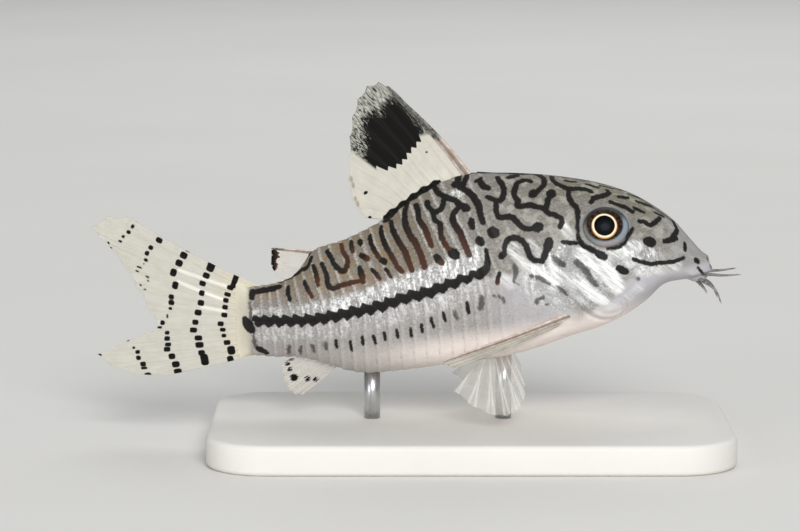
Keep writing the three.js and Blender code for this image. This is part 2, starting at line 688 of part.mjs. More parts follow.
let head = muzzle.subtract(mouthSlit());
for (const [, side] of SIDES) {
  head = head.add(orbitRim(side)).add(nostrilRim(side)).subtract(nostrilPit(side));
  head = head.subtract(eyeball(side, GAP)).subtract(gillPlate(side, GAP));
}
add(fish, "head", largest(head), SKIN, bend);
add(fish, "torso", torsoLoft(), SKIN, bend);
add(fish, "tail", tailLoft(), SKIN, bend);

for (const [word, side] of SIDES) {
  add(fish, `eye_${word}`, eyeball(side, 0), EYE_DARK, bend);
  add(fish, `gill_cover_${word}`, gillPlate(side, 0), GILL_SILVER, bend);
  for (const form of BARBELS) {
    add(fish, `${form.name}_${word}`, largest(barbel(form, side).subtract(muzzleGrown)), BARBEL, bend);
  }
  add(fish, `pectoral_fin_${word}`, largest(finSolid(PECTORAL, side).subtract(trunk)), FIN, bend);
  add(fish, `pelvic_fin_${word}`, largest(finSolid(PELVIC, side).subtract(trunk)), FIN, bend);
}
for (const [name, form] of Object.entries(FINS)) {
  add(fish, name, largest(finSolid(form).subtract(trunk)), FIN, bend);
}
add(fish, "caudal_fin_upper", caudalLobe(CAUDAL.upper), FIN, bend);
add(fish, "caudal_fin_lower", caudalLobe(CAUDAL.lower), FIN, bend);

const posedTrunk = solidOf(geometryFrom(trunk, bend).applyMatrix4(fish.matrixWorld));
add(stand, "stand_base", standBase(), PLINTH);
add(stand, "stand_rod_front", largest(standRod(ROD.front).subtract(posedTrunk)), STEEL);
add(stand, "stand_rod_rear", largest(standRod(ROD.rear).subtract(posedTrunk)), STEEL);

export default part;
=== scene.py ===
import math
import bpy
import numpy as np
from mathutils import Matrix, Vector
from bpy.props import FloatProperty, FloatVectorProperty, PointerProperty


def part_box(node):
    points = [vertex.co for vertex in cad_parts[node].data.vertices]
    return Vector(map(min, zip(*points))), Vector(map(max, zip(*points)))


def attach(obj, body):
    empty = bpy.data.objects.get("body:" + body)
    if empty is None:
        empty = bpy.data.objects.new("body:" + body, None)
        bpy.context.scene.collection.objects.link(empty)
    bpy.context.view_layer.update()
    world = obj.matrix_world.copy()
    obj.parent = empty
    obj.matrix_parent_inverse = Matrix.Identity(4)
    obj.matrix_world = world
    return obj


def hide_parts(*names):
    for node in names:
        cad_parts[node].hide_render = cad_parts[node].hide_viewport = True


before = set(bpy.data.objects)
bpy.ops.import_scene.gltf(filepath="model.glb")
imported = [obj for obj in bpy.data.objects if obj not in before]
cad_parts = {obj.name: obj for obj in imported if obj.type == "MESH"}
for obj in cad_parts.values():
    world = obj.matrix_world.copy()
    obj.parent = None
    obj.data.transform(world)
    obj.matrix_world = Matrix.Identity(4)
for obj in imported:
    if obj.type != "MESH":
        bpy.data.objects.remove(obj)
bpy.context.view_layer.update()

# A small armoured catfish with black lines on silver grey skin, life size on a plain stand. Sizes are in
# millimetres until a mesh is made. The fish is drawn straight, with s the distance behind the snout, y
# towards its left and z up, and place() then bends and pitches it into its pose.
bl_info = {
    "name": "Corydoras Catfish Model",
    "version": (1, 0, 0),
    "blender": (4, 5, 0),
    "location": "View3D > Sidebar > Catfish",
    "description": "Builds a still, life-size armoured catfish on a display stand",
    "category": "Add Mesh",
}

MM = 0.001

# Pose
SNOUT = (22.8, 19.8)
PITCH = math.radians(10)
BEND_START = 26
BEND_RADIUS = 100
BEND_TILT = math.radians(45)

# The photo's camera: its aim, its tip and turn in degrees, its distance and how wide it sees there, in
# millimetres. PHOTO is the frame in pixels, and PIXEL what one shows of the fish.
CAMERA = {"at": (-7.0, 0.0, 18.45), "tip": 8, "turn": 0, "far": 320, "wide": 80}
PHOTO = (800, 531)
PIXEL = 0.1

# The search for the place on the flank that a pixel shows: the turns it starts from and the bounds of s and
# turn, and the small step that it takes slopes over
FLANK_STARTS = (1.2, 0.5, 2.0)
FLANK_LOW = (-0.8, 0.01)
FLANK_HIGH = (45.6, math.pi - 0.01)
NUDGE = 1e-4

# The trunk's sections: s, top, bottom, half width, height of the widest line, height of the lateral line,
# and how square the roof and the belly are.
KEYS = ("s", "top", "bottom", "half", "mid", "line", "roof", "belly")
STATIONS = np.array([
    (-0.85, -0.5, -2.0, 0.75, -1.2, -1.1, 2.0, 2.0),
    (-0.3, 0.1, -2.45, 1.4, -1.2, -0.8, 2.0, 2.0),
    (0.5, 1.4, -2.55, 2.05, -1.1, -0.5, 2.0, 2.1),
    (2.0, 3.75, -2.35, 2.95, -0.8, 0.0, 1.95, 2.2),
    (4.0, 5.75, -2.45, 3.8, -0.7, 0.5, 1.9, 2.2),
    (6.0, 7.25, -3.75, 4.5, -0.9, 0.9, 1.88, 2.3),
    (8.5, 8.55, -4.85, 5.15, -1.3, 1.3, 1.85, 2.5),
    (11.0, 9.5, -5.45, 5.65, -1.8, 1.6, 1.8, 2.7),
    (14.0, 10.4, -5.8, 5.95, -2.2, 1.8, 1.72, 2.8),
    (18.0, 11.3, -6.5, 5.9, -2.5, 1.9, 1.66, 2.8),
    (21.5, 11.8, -6.8, 5.7, -2.6, 1.8, 1.65, 2.7),
    (26.0, 10.8, -6.6, 5.2, -2.5, 1.0, 1.68, 2.6),
    (31.0, 8.5, -6.6, 4.4, -2.1, 0.2, 1.72, 2.4),
    (35.0, 7.1, -6.4, 3.6, -1.6, -0.2, 1.75, 2.2),
    (38.6, 6.2, -5.1, 2.9, -1.0, -0.5, 1.8, 2.0),
    (39.8, 4.75, -4.65, 2.6, -0.8, -0.55, 1.85, 2.0),
    (41.0, 3.7, -4.4, 2.3, -0.6, -0.6, 1.9, 2.0),
    (43.0, 3.1, -4.3, 1.9, -0.5, -0.5, 2.0, 2.0),
    (45.5, 2.85, -4.05, 1.35, -0.4, -0.4, 2.0, 2.0),
])
STALK_END = 45.5 # the last section, from which the skin tapers into the tail fin
SKIN_END = 46.9
SKIN_AROUND = 248 # points round the skin

# Body plates, in an upper and a lower row on each flank. SCUTE_TAPER is the last plate's length over the
# first's, and a plate's edge leans back by SCUTE_LEAN above the lateral line and LEAN_BELOW of that below.
HEAD_END = 15.6
SCUTES = 24
SCUTE_FIRST = 16.4
SCUTE_LAST = 45.2
SCUTE_TAPER = 0.85
SCUTE_LEAN = 0.28
LEAN_BELOW = 0.3
LEAN_IN = 4 # the lean grows and fades over this length

EYE = {"s": 8.83, "z": 4.68, "long": 2.4, "tall": 2.15, "bulge": 1.5, "sunk": 0.72, "forward": 9, "up": 20}
EYE_EDGE = 2.3 # mean radius of the ball where it meets the skin
PUPIL_BACK = 0.24 # the pupil sits this far behind the middle of the eye
NOSTRIL = (3.0, 3.1)

# Outline of the gill cover's plate, as (s, z)
GILL_PLATE = [(11.7, 3.9), (12.8, 3.3), (13.7, 1.9), (13.9, 0.2), (13.3, -1.6), (12.3, -3.0), (10.9, -4.1),
              (9.4, -4.4), (8.3, -3.9), (8.5, -2.4), (9.2, -0.4), (10.3, 1.6), (11.0, 3.0)]

# The dark stripe along the lateral line, as photo pixels, and its upturned end behind the gill cover
STRIPE = [(258, 321), (262, 321), (309, 320), (343, 314.4), (378, 306.6), (400, 299.4), (415, 295.5),
          (431.2, 291.4), (445, 286), (457.6, 281.2), (469, 277.3), (480.5, 273.6)]
STRIPE_END = [(480.5, 273.6), (486, 268.5), (487.4, 259.5), (486.6, 250)]
STRIPE_WIDTH = 1.04

# Lines and spots on the skin: name, width, kind and points picked along its middle, as photo pixels.
# Kind k is black, f turns brown towards its last point, and g is a mottled grey.
MARKS = [
    ("nape", 0.62, "k", [(466, 174), (473.6, 172.6), (480, 172.6), (497, 172), (520, 172.6), (535, 174.5),
        (542, 178), (544.3, 181.8), (542.6, 187), (537.4, 191.6), (532.2, 194.4)]),
    ("nape end", 0.99, "k", [(534, 193), (532, 194.6)]),
    ("nape side", 0.55, "k", [(507.5, 178), (518, 175.2)]),
    ("c loop", 0.62, "k", [(531, 181), (524.8, 180.3), (517.9, 183), (514.4, 188.7), (514.4, 195.6),
        (517.9, 200.2), (517.3, 205.5), (521.3, 206.5), (529.4, 205.3), (537.4, 207), (544.3, 209.4),
        (548.9, 213.4), (554.6, 214.5), (560.4, 217.4), (562, 222), (559.8, 227)]),
    ("branch", 0.62, "k", [(551.2, 194), (548.3, 200.9), (546, 208.2)]),
    ("branch end", 1.11, "k", [(551.4, 192.6), (550.8, 194.5)]),
    ("hook", 0.62, "k", [(497.2, 177.2), (500.7, 181.8), (503.5, 187.6), (503.5, 194.4), (500, 200.2),
        (495, 200.2), (487.5, 196.8)]),
    ("wave", 0.62, "k", [(496.6, 201.3), (496, 208.2), (498.4, 215.5), (503, 217.4), (512, 216.3),
        (515.6, 220.8), (521.3, 227.2), (528.2, 228.9), (535, 227.7)]),
    ("wave end", 1.11, "k", [(536.5, 227.8), (539.7, 227.2)]),
    ("comma", 0.74, "k", [(479.6, 180.5), (482.3, 185), (488, 188.2)]),
    ("comma top", 0.49, "k", [(476, 181.8), (481.7, 178.4)]),
    ("spot a", 1.35, "k", [(493, 232), (493.6, 232.6)]),
    ("spot b", 0.92, "k", [(478.6, 239.9), (481.5, 242.5)]),
    ("arch", 0.62, "k", [(504.7, 250.7), (506.4, 242.7), (509.8, 238.4), (515.6, 238.2), (522.5, 240.6),
        (526, 246.1), (528.2, 251.8), (531.7, 258.5), (536.3, 261.3), (542, 261)]),
    ("arch foot", 0.74, "k", [(501.2, 255.9), (503.6, 253.2)]),
    ("arch arm", 0.68, "k", [(542, 261), (544.3, 256.4), (547.7, 248.4)]),
    ("arch arm top", 0.99, "k", [(547.5, 248), (548.9, 241.5)]),
    ("behind eye", 0.59, "k", [(551.2, 177.2), (554.6, 181.8), (560.4, 185.8), (568.4, 188.7), (578.7, 188.3),
        (585.6, 189.8), (590.8, 191.8)]),
    ("cheek", 0.59, "k", [(568.4, 189.8), (569, 197.9), (573, 204.8), (577.6, 209), (577.8, 217.4)]),
    ("cheek mid", 0.39, "k", [(577.8, 217.4), (577, 226.6), (578.4, 236)]),
    ("cheek low", 0.59, "k", [(578.4, 238), (583.3, 245), (591.4, 249.5), (599, 254)]),
    ("cheek end", 0.84, "k", [(598.5, 253.4), (604, 256.8)]),
    ("cheek bar", 0.49, "k", [(562.7, 242.7), (576.4, 243.2)]),
    ("brow", 0.64, "k", [(591.4, 202.4), (594.8, 197.9), (601.7, 195.7), (609, 193.6)]),
    ("brow tip", 0.44, "k", [(609.7, 193.3), (607.4, 190.4)]),
    ("lid", 0.52, "k", [(610.9, 202.5), (617.8, 204.8), (625.8, 208.2), (632.7, 211.7)]),
    ("top a", 0.34, "k", [(565, 180.9), (575.3, 181.6)]),
    ("top b", 0.39, "k", [(586.8, 184.3), (598.2, 187.8)]),
    ("top c", 0.27, "k", [(600.5, 186), (622.3, 190.4)]),
    ("top d", 0.47, "k", [(618.9, 196.2), (628, 197.5)]),
    ("top e", 0.32, "k", [(628, 193.5), (638.4, 196.6)]),
    ("top f", 0.42, "k", [(636.1, 201.3), (650, 206.2)]),
    ("top g", 0.42, "k", [(633.8, 208.2), (644.2, 211.7)]),
    ("top h", 0.34, "k", [(655, 212), (664, 217)]),
    ("crown", 0.44, "g", [(555, 176), (575.1, 177.6), (595, 182), (615, 187.6), (635, 195.5), (650, 204.5),
        (662, 213), (672, 220.5)]),
    ("snout top", 0.54, "k", [(639.6, 220.8), (645.3, 221.6), (651, 225.5), (656, 221.5), (660, 217.8)]),
    ("snout spot", 1.13, "k", [(647.8, 241.6), (652, 242.4)]),
    ("snout link", 0.64, "k", [(665, 240.8), (676.5, 238.6)]),
    ("snout up", 0.59, "k", [(671, 239), (676, 233), (677, 229), (673, 222)]),
    ("snout tip", 0.49, "k", [(685, 243), (685, 249.5)]),
    ("eye arc", 0.39, "k", [(632.5, 228), (628, 236), (624, 243), (616, 248), (608, 248.5)]),
    ("cheek spot", 0.79, "k", [(619, 268.8), (625, 271.2)]),
    ("lip line", 0.47, "k", [(633.8, 258.7), (640.7, 262.2), (649.9, 263.9), (659, 263), (672, 261.5),
        (684, 257.5)]),
    ("dorsal base", 0.74, "k", [(387.6, 218.5), (394.4, 211.7), (403.6, 202.8), (411.7, 198.4), (422, 193.4),
        (430, 188), (433.5, 184.5)]),
    ("dorsal root", 0.94, "k", [(386, 219.5), (392, 214.5)]),
    ("shoulder", 0.69, "k", [(433.5, 186), (439.2, 193.3), (447.2, 197.9), (455.3, 200.2), (459.9, 205.9),
        (465.5, 207)]),
    ("shoulder end", 0.92, "k", [(464, 206.6), (467.3, 208.8)]),
    ("hook b", 0.59, "k", [(442.7, 200.2), (443.8, 203.6), (440.4, 209.4), (434.6, 211.7), (428.9, 208.2),
        (426.9, 204)]),
    ("hook b end", 0.8, "k", [(426.8, 203.2), (427.2, 204.2)]),
    ("spine root a", 0.74, "k", [(457.6, 172), (457.6, 182.9)]),
    ("spine root b", 0.62, "k", [(466.8, 174.5), (463.3, 186)]),
    ("spine root c", 0.86, "k", [(455, 184), (462, 187.5)]),
    ("j line", 0.74, "k", [(455.3, 183), (459.9, 187.6), (469, 193.3), (476, 200.2), (479.4, 205.9),
        (480.5, 214), (482.6, 221.5)]),
    ("spot c", 0.74, "k", [(471.3, 221), (471.9, 227.4)]),
    ("spot d", 0.8, "f", [(436.2, 257), (441.5, 262.8)]),
    ("bar b", 0.57, "f", [(433.5, 214), (434.6, 219.7), (440.4, 224.3), (440.9, 233.5), (442.7, 240.4),
        (447.2, 247.2), (452, 252)]),
    ("bar b end", 1.11, "k", [(452.5, 252.5), (455.2, 255.2)]),
    ("bar c", 0.69, "f", [(457.6, 208.5), (453.4, 214), (452, 219), (455.3, 226.6), (459.9, 233.5),
        (463.3, 241.5), (467.4, 250), (468.6, 255)]),
    ("bar d", 0.69, "f", [(416.3, 205.5), (417.4, 210.5), (418.7, 219.7), (424.3, 227.7), (427.7, 235.8),
        (431.2, 245)]),
    ("bar e", 0.71, "f", [(408.2, 202), (405.2, 210), (404.6, 219), (406.4, 228), (409.8, 234.5),
        (415, 242.7), (418.8, 251.5), (422.8, 261), (425.2, 266.8)]),
    ("bar f", 0.66, "f", [(391, 221.5), (392.4, 228.1), (395, 234.5), (400.2, 243.8), (405.4, 252.5),
        (409.2, 262.5), (412, 270)]),
    ("bar g", 0.59, "f", [(380.7, 227.5), (382.2, 235.5), (384.6, 243.5), (388.4, 250.5), (393, 258.4),
        (397.3, 266.5), (402.5, 271.8)]),
    ("bar h", 0.55, "f", [(369.2, 235.8), (371.5, 243.8), (374.5, 250.5), (378.2, 256.3), (382, 260)]),
    ("bar h end", 0.74, "k", [(381.8, 260), (385, 261.6)]),
    ("dash a", 0.47, "f", [(371.5, 269), (375.8, 274.6), (379.5, 279.4)]),
    ("dash b", 0.42, "f", [(385.3, 269), (388.4, 272.4), (391, 276.4)]),
    ("spot e", 0.69, "k", [(359.8, 241), (361, 243.6)]),
    ("spot f", 0.69, "f", [(361.5, 254.8), (367.5, 259.5)]),
    ("dash c", 0.66, "f", [(359.6, 268), (361, 274.5), (363.2, 281.4)]),
    ("dash d", 0.52, "f", [(351, 241.5), (352.8, 252)]),
    ("u bend", 0.57, "f", [(327, 251), (331.5, 258), (335, 266), (341, 270.3), (346.6, 268.4), (347.2, 260),
        (343.4, 252.6), (341, 245)]),
    ("long hook", 0.54, "f", [(321.5, 264), (326.5, 273.5), (328, 284), (332, 288.6), (342, 285.6),
        (352.5, 282.4), (362, 280.4)]),
    ("rear a", 0.54, "k", [(309, 256), (310.5, 251)]),
    ("rear b", 0.54, "f", [(313.5, 266), (316.4, 275), (318, 285)]),
    ("rear c", 0.52, "f", [(305, 282), (308, 289.5), (312, 296)]),
    ("rear d", 0.49, "k", [(288, 287), (288, 293), (290, 299.5)]),
    ("rear e", 0.84, "k", [(285, 279), (292, 276), (300, 271)]),
    ("rear f", 0.54, "k", [(300, 271), (307, 266.6), (311, 257)]),
    ("stalk top", 0.79, "k", [(257, 291), (268, 289.5), (279, 287.4)]),
    ("stalk blob", 0.69, "k", [(252.5, 291.5), (252.3, 298)]),
    ("stalk low", 0.79, "k", [(259, 349), (266, 352)]),
    ("stalk line", 0.3, "g", [(250, 302), (251, 316), (253, 335), (255, 346)]),
    ("low a", 0.42, "g", [(289, 347), (289.4, 354)]),
    ("low b", 0.42, "g", [(301, 347), (301.4, 354)]),
    ("low c", 0.42, "g", [(313, 345.5), (313.6, 352.5)]),
    ("low d", 0.42, "g", [(325, 342.5), (325.8, 349.5)]),
    ("low e", 0.34, "k", [(336, 340.4), (337, 348)]),
    ("low f", 0.34, "k", [(350, 342), (351, 350)]),
    ("low g", 0.34, "k", [(362, 337.4), (363, 344.6)]),
    ("low h", 0.34, "k", [(374, 336.4), (375, 343.6)]),
    ("low i", 0.34, "k", [(384.4, 333), (385.4, 340)]),
    ("low j", 0.34, "k", [(397, 330), (398.4, 338)]),
    ("low k", 0.34, "k", [(410, 328), (411.4, 336)]),
    ("low l", 0.34, "k", [(431.4, 318), (434, 327)]),
    ("low m", 0.34, "k", [(443, 312.6), (445.4, 321.6)]),
    ("low n", 0.42, "k", [(467, 303), (469.2, 313)]),
    ("low o", 0.56, "g", [(482.4, 297.5), (480.4, 308)]),
    ("low p", 0.42, "g", [(455.4, 311), (457.6, 319)]),
    ("low q", 0.34, "k", [(421, 325), (422.4, 332)]),
    ("bract", 0.52, "f", [(500.4, 273.5), (498.4, 279), (497.2, 283.2)]),
    ("m a", 0.45, "g", [(514.4, 264.5), (516.7, 272.5), (513.3, 280.5), (519, 285.1)]),
    ("m b", 0.37, "g", [(530.5, 276), (539.7, 278.2), (548.9, 282.8), (558, 287.4)]),
    ("m b end", 0.55, "g", [(558, 287.4), (566.5, 292.8)]),
    ("m c", 0.53, "g", [(553.5, 257.6), (562.7, 264.5)]),
    ("m d", 0.69, "g", [(577.6, 262.2), (585.6, 270.2), (591.4, 279.4), (596, 284.6)]),
    ("m e", 0.26, "g", [(637.6, 277.6), (639, 278.6)]),
    ("m f", 0.3, "g", [(492.6, 294.9), (498, 296.4), (502.7, 298.5), (503.6, 303)]),
    ("m g", 0.49, "g", [(536.3, 301.2), (542, 297.7)]),
    ("m h", 0.26, "g", [(545.6, 304.4), (547.6, 304.9)]),
]

# Marks on the ends of the trunk, which the photo sees edge-on, in the same order but as (s, z)
END_MARKS = [
    ("snout flap", 0.62, "k", [(0.5, -0.45), (0.3, -0.65)]),
    ("mouth corner", 0.26, "k", [(0.45, -1.2), (0.2, -1.5), (0, -1.8)]),
    ("nose edge", 0.22, "g", [(-0.7, -0.6), (-0.72, -1), (-0.78, -1.6)]),
    ("stalk end", 1.2, "k", [(45.7, -0.5), (45.25, -1.15)]),
]

# Strokes of painted highlight on the cheek and the gill cover: name, width, strength and points as photo
# pixels
HIGHLIGHT_STROKES = [
    ("gill plate", 1.3, 1, [(580, 255), (595, 263.75), (608, 273), (618, 287)]),
    ("gill plate low", 0.9, 0.9, [(575, 277.5), (590, 292.5), (605, 301)]),
    ("gill back", 1, 0.8, [(551, 260), (557.5, 273), (572.5, 285)]),
    ("arch inside", 1.1, 0.75, [(512.5, 248), (517.5, 255), (527.5, 265), (540, 273), (553, 285)]),
    ("arch side", 0.9, 0.45, [(530, 243), (536, 250), (541, 256)]),
    ("behind eye", 0.9, 0.8, [(561, 222), (567, 231), (571, 238)]),
    ("under eye", 1.3, 0.75, [(610, 256), (624, 251), (636, 245)]),
    ("cheek", 0.9, 0.6, [(629, 263), (638, 260)]),
    ("jaw", 1.2, 0.5, [(640, 270), (655, 269), (677, 265)]),
    ("shoulder", 1.2, 0.4, [(500, 275), (510, 283)]),
    ("throat", 1.1, 0.35, [(600, 309), (625, 300), (640, 288)]),
]

# Dots on the tail fin in five bands from its root: middle, length along the rays and width across them, all
# in photo pixels
TAIL_DOTS = [
    # band 1
    (234.5, 281, 6, 16), (230, 288, 7, 5), (228, 294, 7, 4.5), (226, 300, 6, 5), (225, 307.5, 6, 5),
    (224.4, 315, 6.5, 5), (221, 324, 6.5, 5), (223, 330, 6, 4), (224.4, 336, 5, 4), (227, 342.5, 7, 5),
    (231, 350, 8, 9), (231, 359.5, 6.5, 9),
    # band 2
    (211, 258.5, 3, 5), (211, 267, 8.5, 10.5), (206, 275.6, 7.5, 6), (202.5, 283.8, 7, 5.5), (202, 293, 6, 6),
    (200.6, 302.5, 7, 6), (198, 313, 7.5, 6), (195, 322.5, 6.5, 5.5), (193.8, 329.8, 7.5, 5.5),
    (198.8, 337.5, 8, 5.5), (200, 345, 8.5, 6), (202, 352.5, 7, 5.5), (205, 360, 8, 12),
    # band 3
    (188.8, 249.4, 6, 5), (183.8, 255, 8, 7), (178.8, 262.5, 8, 7), (173.8, 272.5, 7, 8),
    (175.6, 285.6, 6.5, 8), (171.9, 297, 6, 5), (171.3, 302.5, 6.5, 5), (170.6, 308.8, 4, 3),
    (167.5, 315.6, 2.4, 4.5), (163, 322.5, 5, 5), (160, 327.5, 5, 2.5), (166.9, 332.5, 5, 4),
    (166.9, 338.8, 6, 5), (168, 344.4, 6.5, 4), (167.5, 348.8, 7, 5), (171.9, 356.3, 7, 6),
    (175.6, 363.8, 8, 6.5), (178, 371.3, 8, 5.5),
    # band 4
    (164.4, 234.4, 6, 4.5), (158.8, 240.6, 7.5, 6), (151.3, 247.5, 5.5, 5), (146.9, 253, 5, 5),
    (146.3, 260, 4.5, 3.5), (144.4, 263.8, 2, 2), (139.4, 267.5, 6, 2), (137.5, 270.6, 5, 2),
    (147.5, 276.9, 5, 2), (148, 280.6, 3, 2), (141, 285, 3, 2), (145, 289.4, 4, 2), (134.4, 347.5, 3, 3),
    (138, 351.9, 5, 4), (138.8, 357.5, 5, 5), (143, 364.4, 6, 5), (144.4, 368, 6.5, 3), (148, 373.8, 7, 3.5),
    # band 5
    (136.9, 221.3, 5, 2.5), (132.5, 226.3, 4, 5), (128.8, 232.5, 5, 4), (123, 236.9, 4, 3.5),
    (120, 240.6, 4.5, 2.5), (108.8, 242.5, 3, 3), (111.3, 248, 3, 2), (116.3, 254.4, 2, 3),
    (119.4, 259.4, 2, 2), (140, 334.4, 3, 2), (135.6, 336, 2.5, 2), (131.9, 337.9, 3, 2),
    (127.5, 340.3, 4, 2), (107.5, 348, 3, 1.5), (102.5, 350.6, 4, 1.5), (99.4, 354.4, 5, 2),
]
TAIL_FOCUS = (33.4, -1.75) # where the tail's rays would meet
# Painted highlight streaks along a few of the tail's rays, as (s, z)
TAIL_HIGHLIGHTS = [[(47.6, 2.9), (52.8, 4.5)], [(48.0, 1.5), (52.9, 3.3)], [(48.1, 0.4), (50.4, 0.8)]]

# The black patch on the back fin, as (s, z)
DORSAL_PATCH = [(28.6, 19.5), (27.5, 19.9), (26.6, 19.1), (25.9, 17.8), (25.4, 16.5), (25.6, 15.7),
                (26.6, 15.0), (27.6, 14.1), (28.9, 13.6), (30.5, 13.8), (31.3, 14.5), (30.8, 15.9),
                (30.9, 17.3), (30.9, 18.4), (29.9, 18.9), (28.9, 18.3)]

# Fins: lines of roots and of tips as (s, y, z), the number of rays, and how far the rays bow back and out
FINS = {
    "dorsal_fin": {
        "roots": [(21.7, 0, 11.9), (24.2, 0, 11.3), (26.6, 0, 10.6), (28.8, 0, 9.6), (30.9, 0, 8.5)],
        "tips": [(28.0, 0, 21.75), (29.0, 0.05, 22.3), (30.4, 0.1, 22.05), (31.7, 0.2, 20.9),
                 (32.6, 0.25, 19.2), (33.2, 0.3, 17.2), (33.6, 0.3, 15.1), (33.9, 0.25, 13.0),
                 (33.7, 0.15, 10.9), (32.7, 0.05, 9.0)],
        "rays": 10, "arch": (-0.5, 0),
    },
    "adipose_fin": {
        "roots": [(38.9, 0, 6.15), (39.6, 0, 5.3), (40.6, 0, 4.1), (41.7, 0, 3.5)],
        "tips": [(42.9, 0, 6.7), (43.05, 0, 5.6), (42.9, 0, 4.6), (42.3, 0, 3.8)],
        "rays": 3, "arch": (0, 0),
    },
    "anal_fin": {
        "roots": [(37.2, 0, -5.7), (38.3, 0, -5.2), (39.4, 0, -4.7), (40.5, 0, -4.35)],
        "tips": [(40.8, 0, -8.4), (41.7, 0, -8.2), (42.3, 0, -7.3), (42.6, 0, -6.2), (42.6, 0, -5.3),
                 (42.3, 0, -4.7)],
        "rays": 7, "arch": (0, 0),
    },
    "pelvic_fin": {
        "roots": [(20.2, 2.6, -6.2), (21.3, 2.75, -6.2), (22.3, 2.8, -6.2), (23.3, 2.8, -6.2)],
        "tips": [(19.3, 4.9, -9.2), (19.7, 6.0, -10.7), (20.8, 6.7, -11.6), (22.5, 6.8, -11.7),
                 (24.6, 6.2, -10.6), (26.4, 5.2, -8.7)],
        "rays": 7, "arch": (0, 0.7),
    },
    "pectoral_fin": {
        "roots": [(12.9, 5.2, -3.0), (13.2, 5.15, -3.25), (13.5, 5.1, -3.5), (13.8, 5.05, -3.75)],
        "tips": [(26.9, 7.2, -5.3), (26.8, 7.1, -5.7), (26.2, 7.0, -6.1), (25.2, 6.9, -6.1)],
        "rays": 5, "arch": (0, 0.75),
    },
}
TAIL_FIN = {
    "roots": [(45.2, 0, 3.3), (45.5, 0, 1.5), (45.6, 0, -0.4), (45.5, 0, -2.3), (45.2, 0, -4.1)],
    "tips": [(58.6, 0, 9.6), (61.0, 0, 9.35), (62.7, 0, 8.2), (61.8, 0, 7.3), (60.5, 0, 6.3), (59.0, 0, 4.7),
             (57.4, 0, 2.6), (56.2, 0, 0.6), (55.2, 0, -1.5), (56.4, 0, -2.2), (58.1, 0, -3.1),
             (59.8, 0, -3.95), (61.1, 0, -4.85), (59.7, 0, -5.9), (57.4, 0, -6.5), (54.4, 0, -6.5)],
    "rays": 16, "arch": (0, 0),
}
FIN_SUNK = 1.2 # how far a fin's sheet goes on into the body

# Feelers round the mouth: root, middle and tip as (s, y, z), and thickness at the root
BARBELS = {
    "barbel_upper": [(0.3, 0.9, -2.0), (-1.9, 1.75, -2.45), (-3.7, 2.3, -2.6), 0.4],
    "barbel_lower": [(0.4, 1.0, -2.5), (-0.9, 1.75, -3.7), (-1.3, 2.1, -5.2), 0.4],
    "barbel_chin": [(0.7, 0.5, -2.6), (0.1, 0.7, -3.5), (-0.15, 0.85, -4.1), 0.4],
}

# Stand
BASE_CORNER = 6
ROD_RADIUS = 0.8


def tint(text):
    """Colour of a hex code as linear light."""
    parts = [int(text[i:i + 2], 16) / 255 for i in (1, 3, 5)]
    return tuple(c / 12.92 if c <= 0.04045 else ((c + 0.055) / 1.055) ** 2.4 for c in parts)


# Shape
def size_at(key, s):
    """One of the stations' sizes at s, on a smooth curve through them."""
    x, v = STATIONS[:, 0], STATIONS[:, KEYS.index(key)]
    s = np.asarray(s, float)
    i = np.clip(np.searchsorted(x, s, side="left") - 1, 0, len(x) - 2)
    low, high = np.maximum(i - 1, 0), np.minimum(i + 2, len(x) - 1)
    span = x[i + 1] - x[i]
    leave = span * (v[i + 1] - v[low]) / (x[i + 1] - x[low])
    arrive = span * (v[high] - v[i]) / (x[high] - x[i])
    t = np.clip((s - x[i]) / span, 0, 1)
    return ((2 * t**3 - 3 * t**2 + 1) * v[i] + (t**3 - 2 * t**2 + t) * leave
            + (3 * t**2 - 2 * t**3) * v[i + 1] + (t**3 - t**2) * arrive)


def rim(s, turn):
    """Section point at s, turn radians down from the back: across, height and the outward normal."""
    s, turn = np.broadcast_arrays(np.asarray(s, float), np.asarray(turn, float))
    above = turn <= math.pi / 2
    mid, half = size_at("mid", s), size_at("half", s)
    tall = np.where(above, size_at("top", s) - mid, mid - size_at("bottom", s))
    power = np.where(above, size_at("roof", s), size_at("belly", s))
    way = np.where(above, 1, -1)
    across = np.maximum(np.sin(turn), 0) ** (2 / power)
    up = np.abs(np.cos(turn)) ** (2 / power)
    ny, nz = across ** (power - 1) / half, way * up ** (power - 1) / tall
    size = np.hypot(ny, nz)
    return half * across, mid + way * up * tall, ny / size, nz / size


def flank(s, z, side):
    """The point of the flank at s and the height z. side is 1 on the left, -1 on the right."""
    s, z = np.asarray(s, float), np.asarray(z, float)
    mid = size_at("mid", s)
    above = z >= mid
    tall = np.where(above, size_at("top", s) - mid, mid - size_at("bottom", s))
    power = np.where(above, size_at("roof", s), size_at("belly", s))
    share = np.clip(np.abs(z - mid) / tall, 0, 1)
    y = size_at("half", s) * np.maximum(1 - share**power, 0) ** (1 / power)
    return np.stack([s, side * y, mid + np.where(above, 1, -1) * share * tall], -1)


def place(points):
    """Moves points of the straight fish into its pose, and turns s into X."""
    s, y, z = (points[..., i] for i in range(3))
    left, up = math.cos(BEND_TILT), math.sin(BEND_TILT)
    past = np.maximum(s - BEND_START, 0) / BEND_RADIUS
    rise, across = y * left + z * up, z * left - y * up
    along = np.where(s > BEND_START, BEND_START + (BEND_RADIUS - rise) * np.sin(past), s)
    lifted = np.where(s > BEND_START, BEND_RADIUS - (BEND_RADIUS - rise) * np.cos(past), rise)
    y2, z2 = lifted * left - across * up, lifted * up + across * left
    x = SNOUT[0] - along * math.cos(PITCH) - z2 * math.sin(PITCH)
    height = SNOUT[1] - along * math.sin(PITCH) + z2 * math.cos(PITCH)
    return np.stack([x, y2, height], -1)


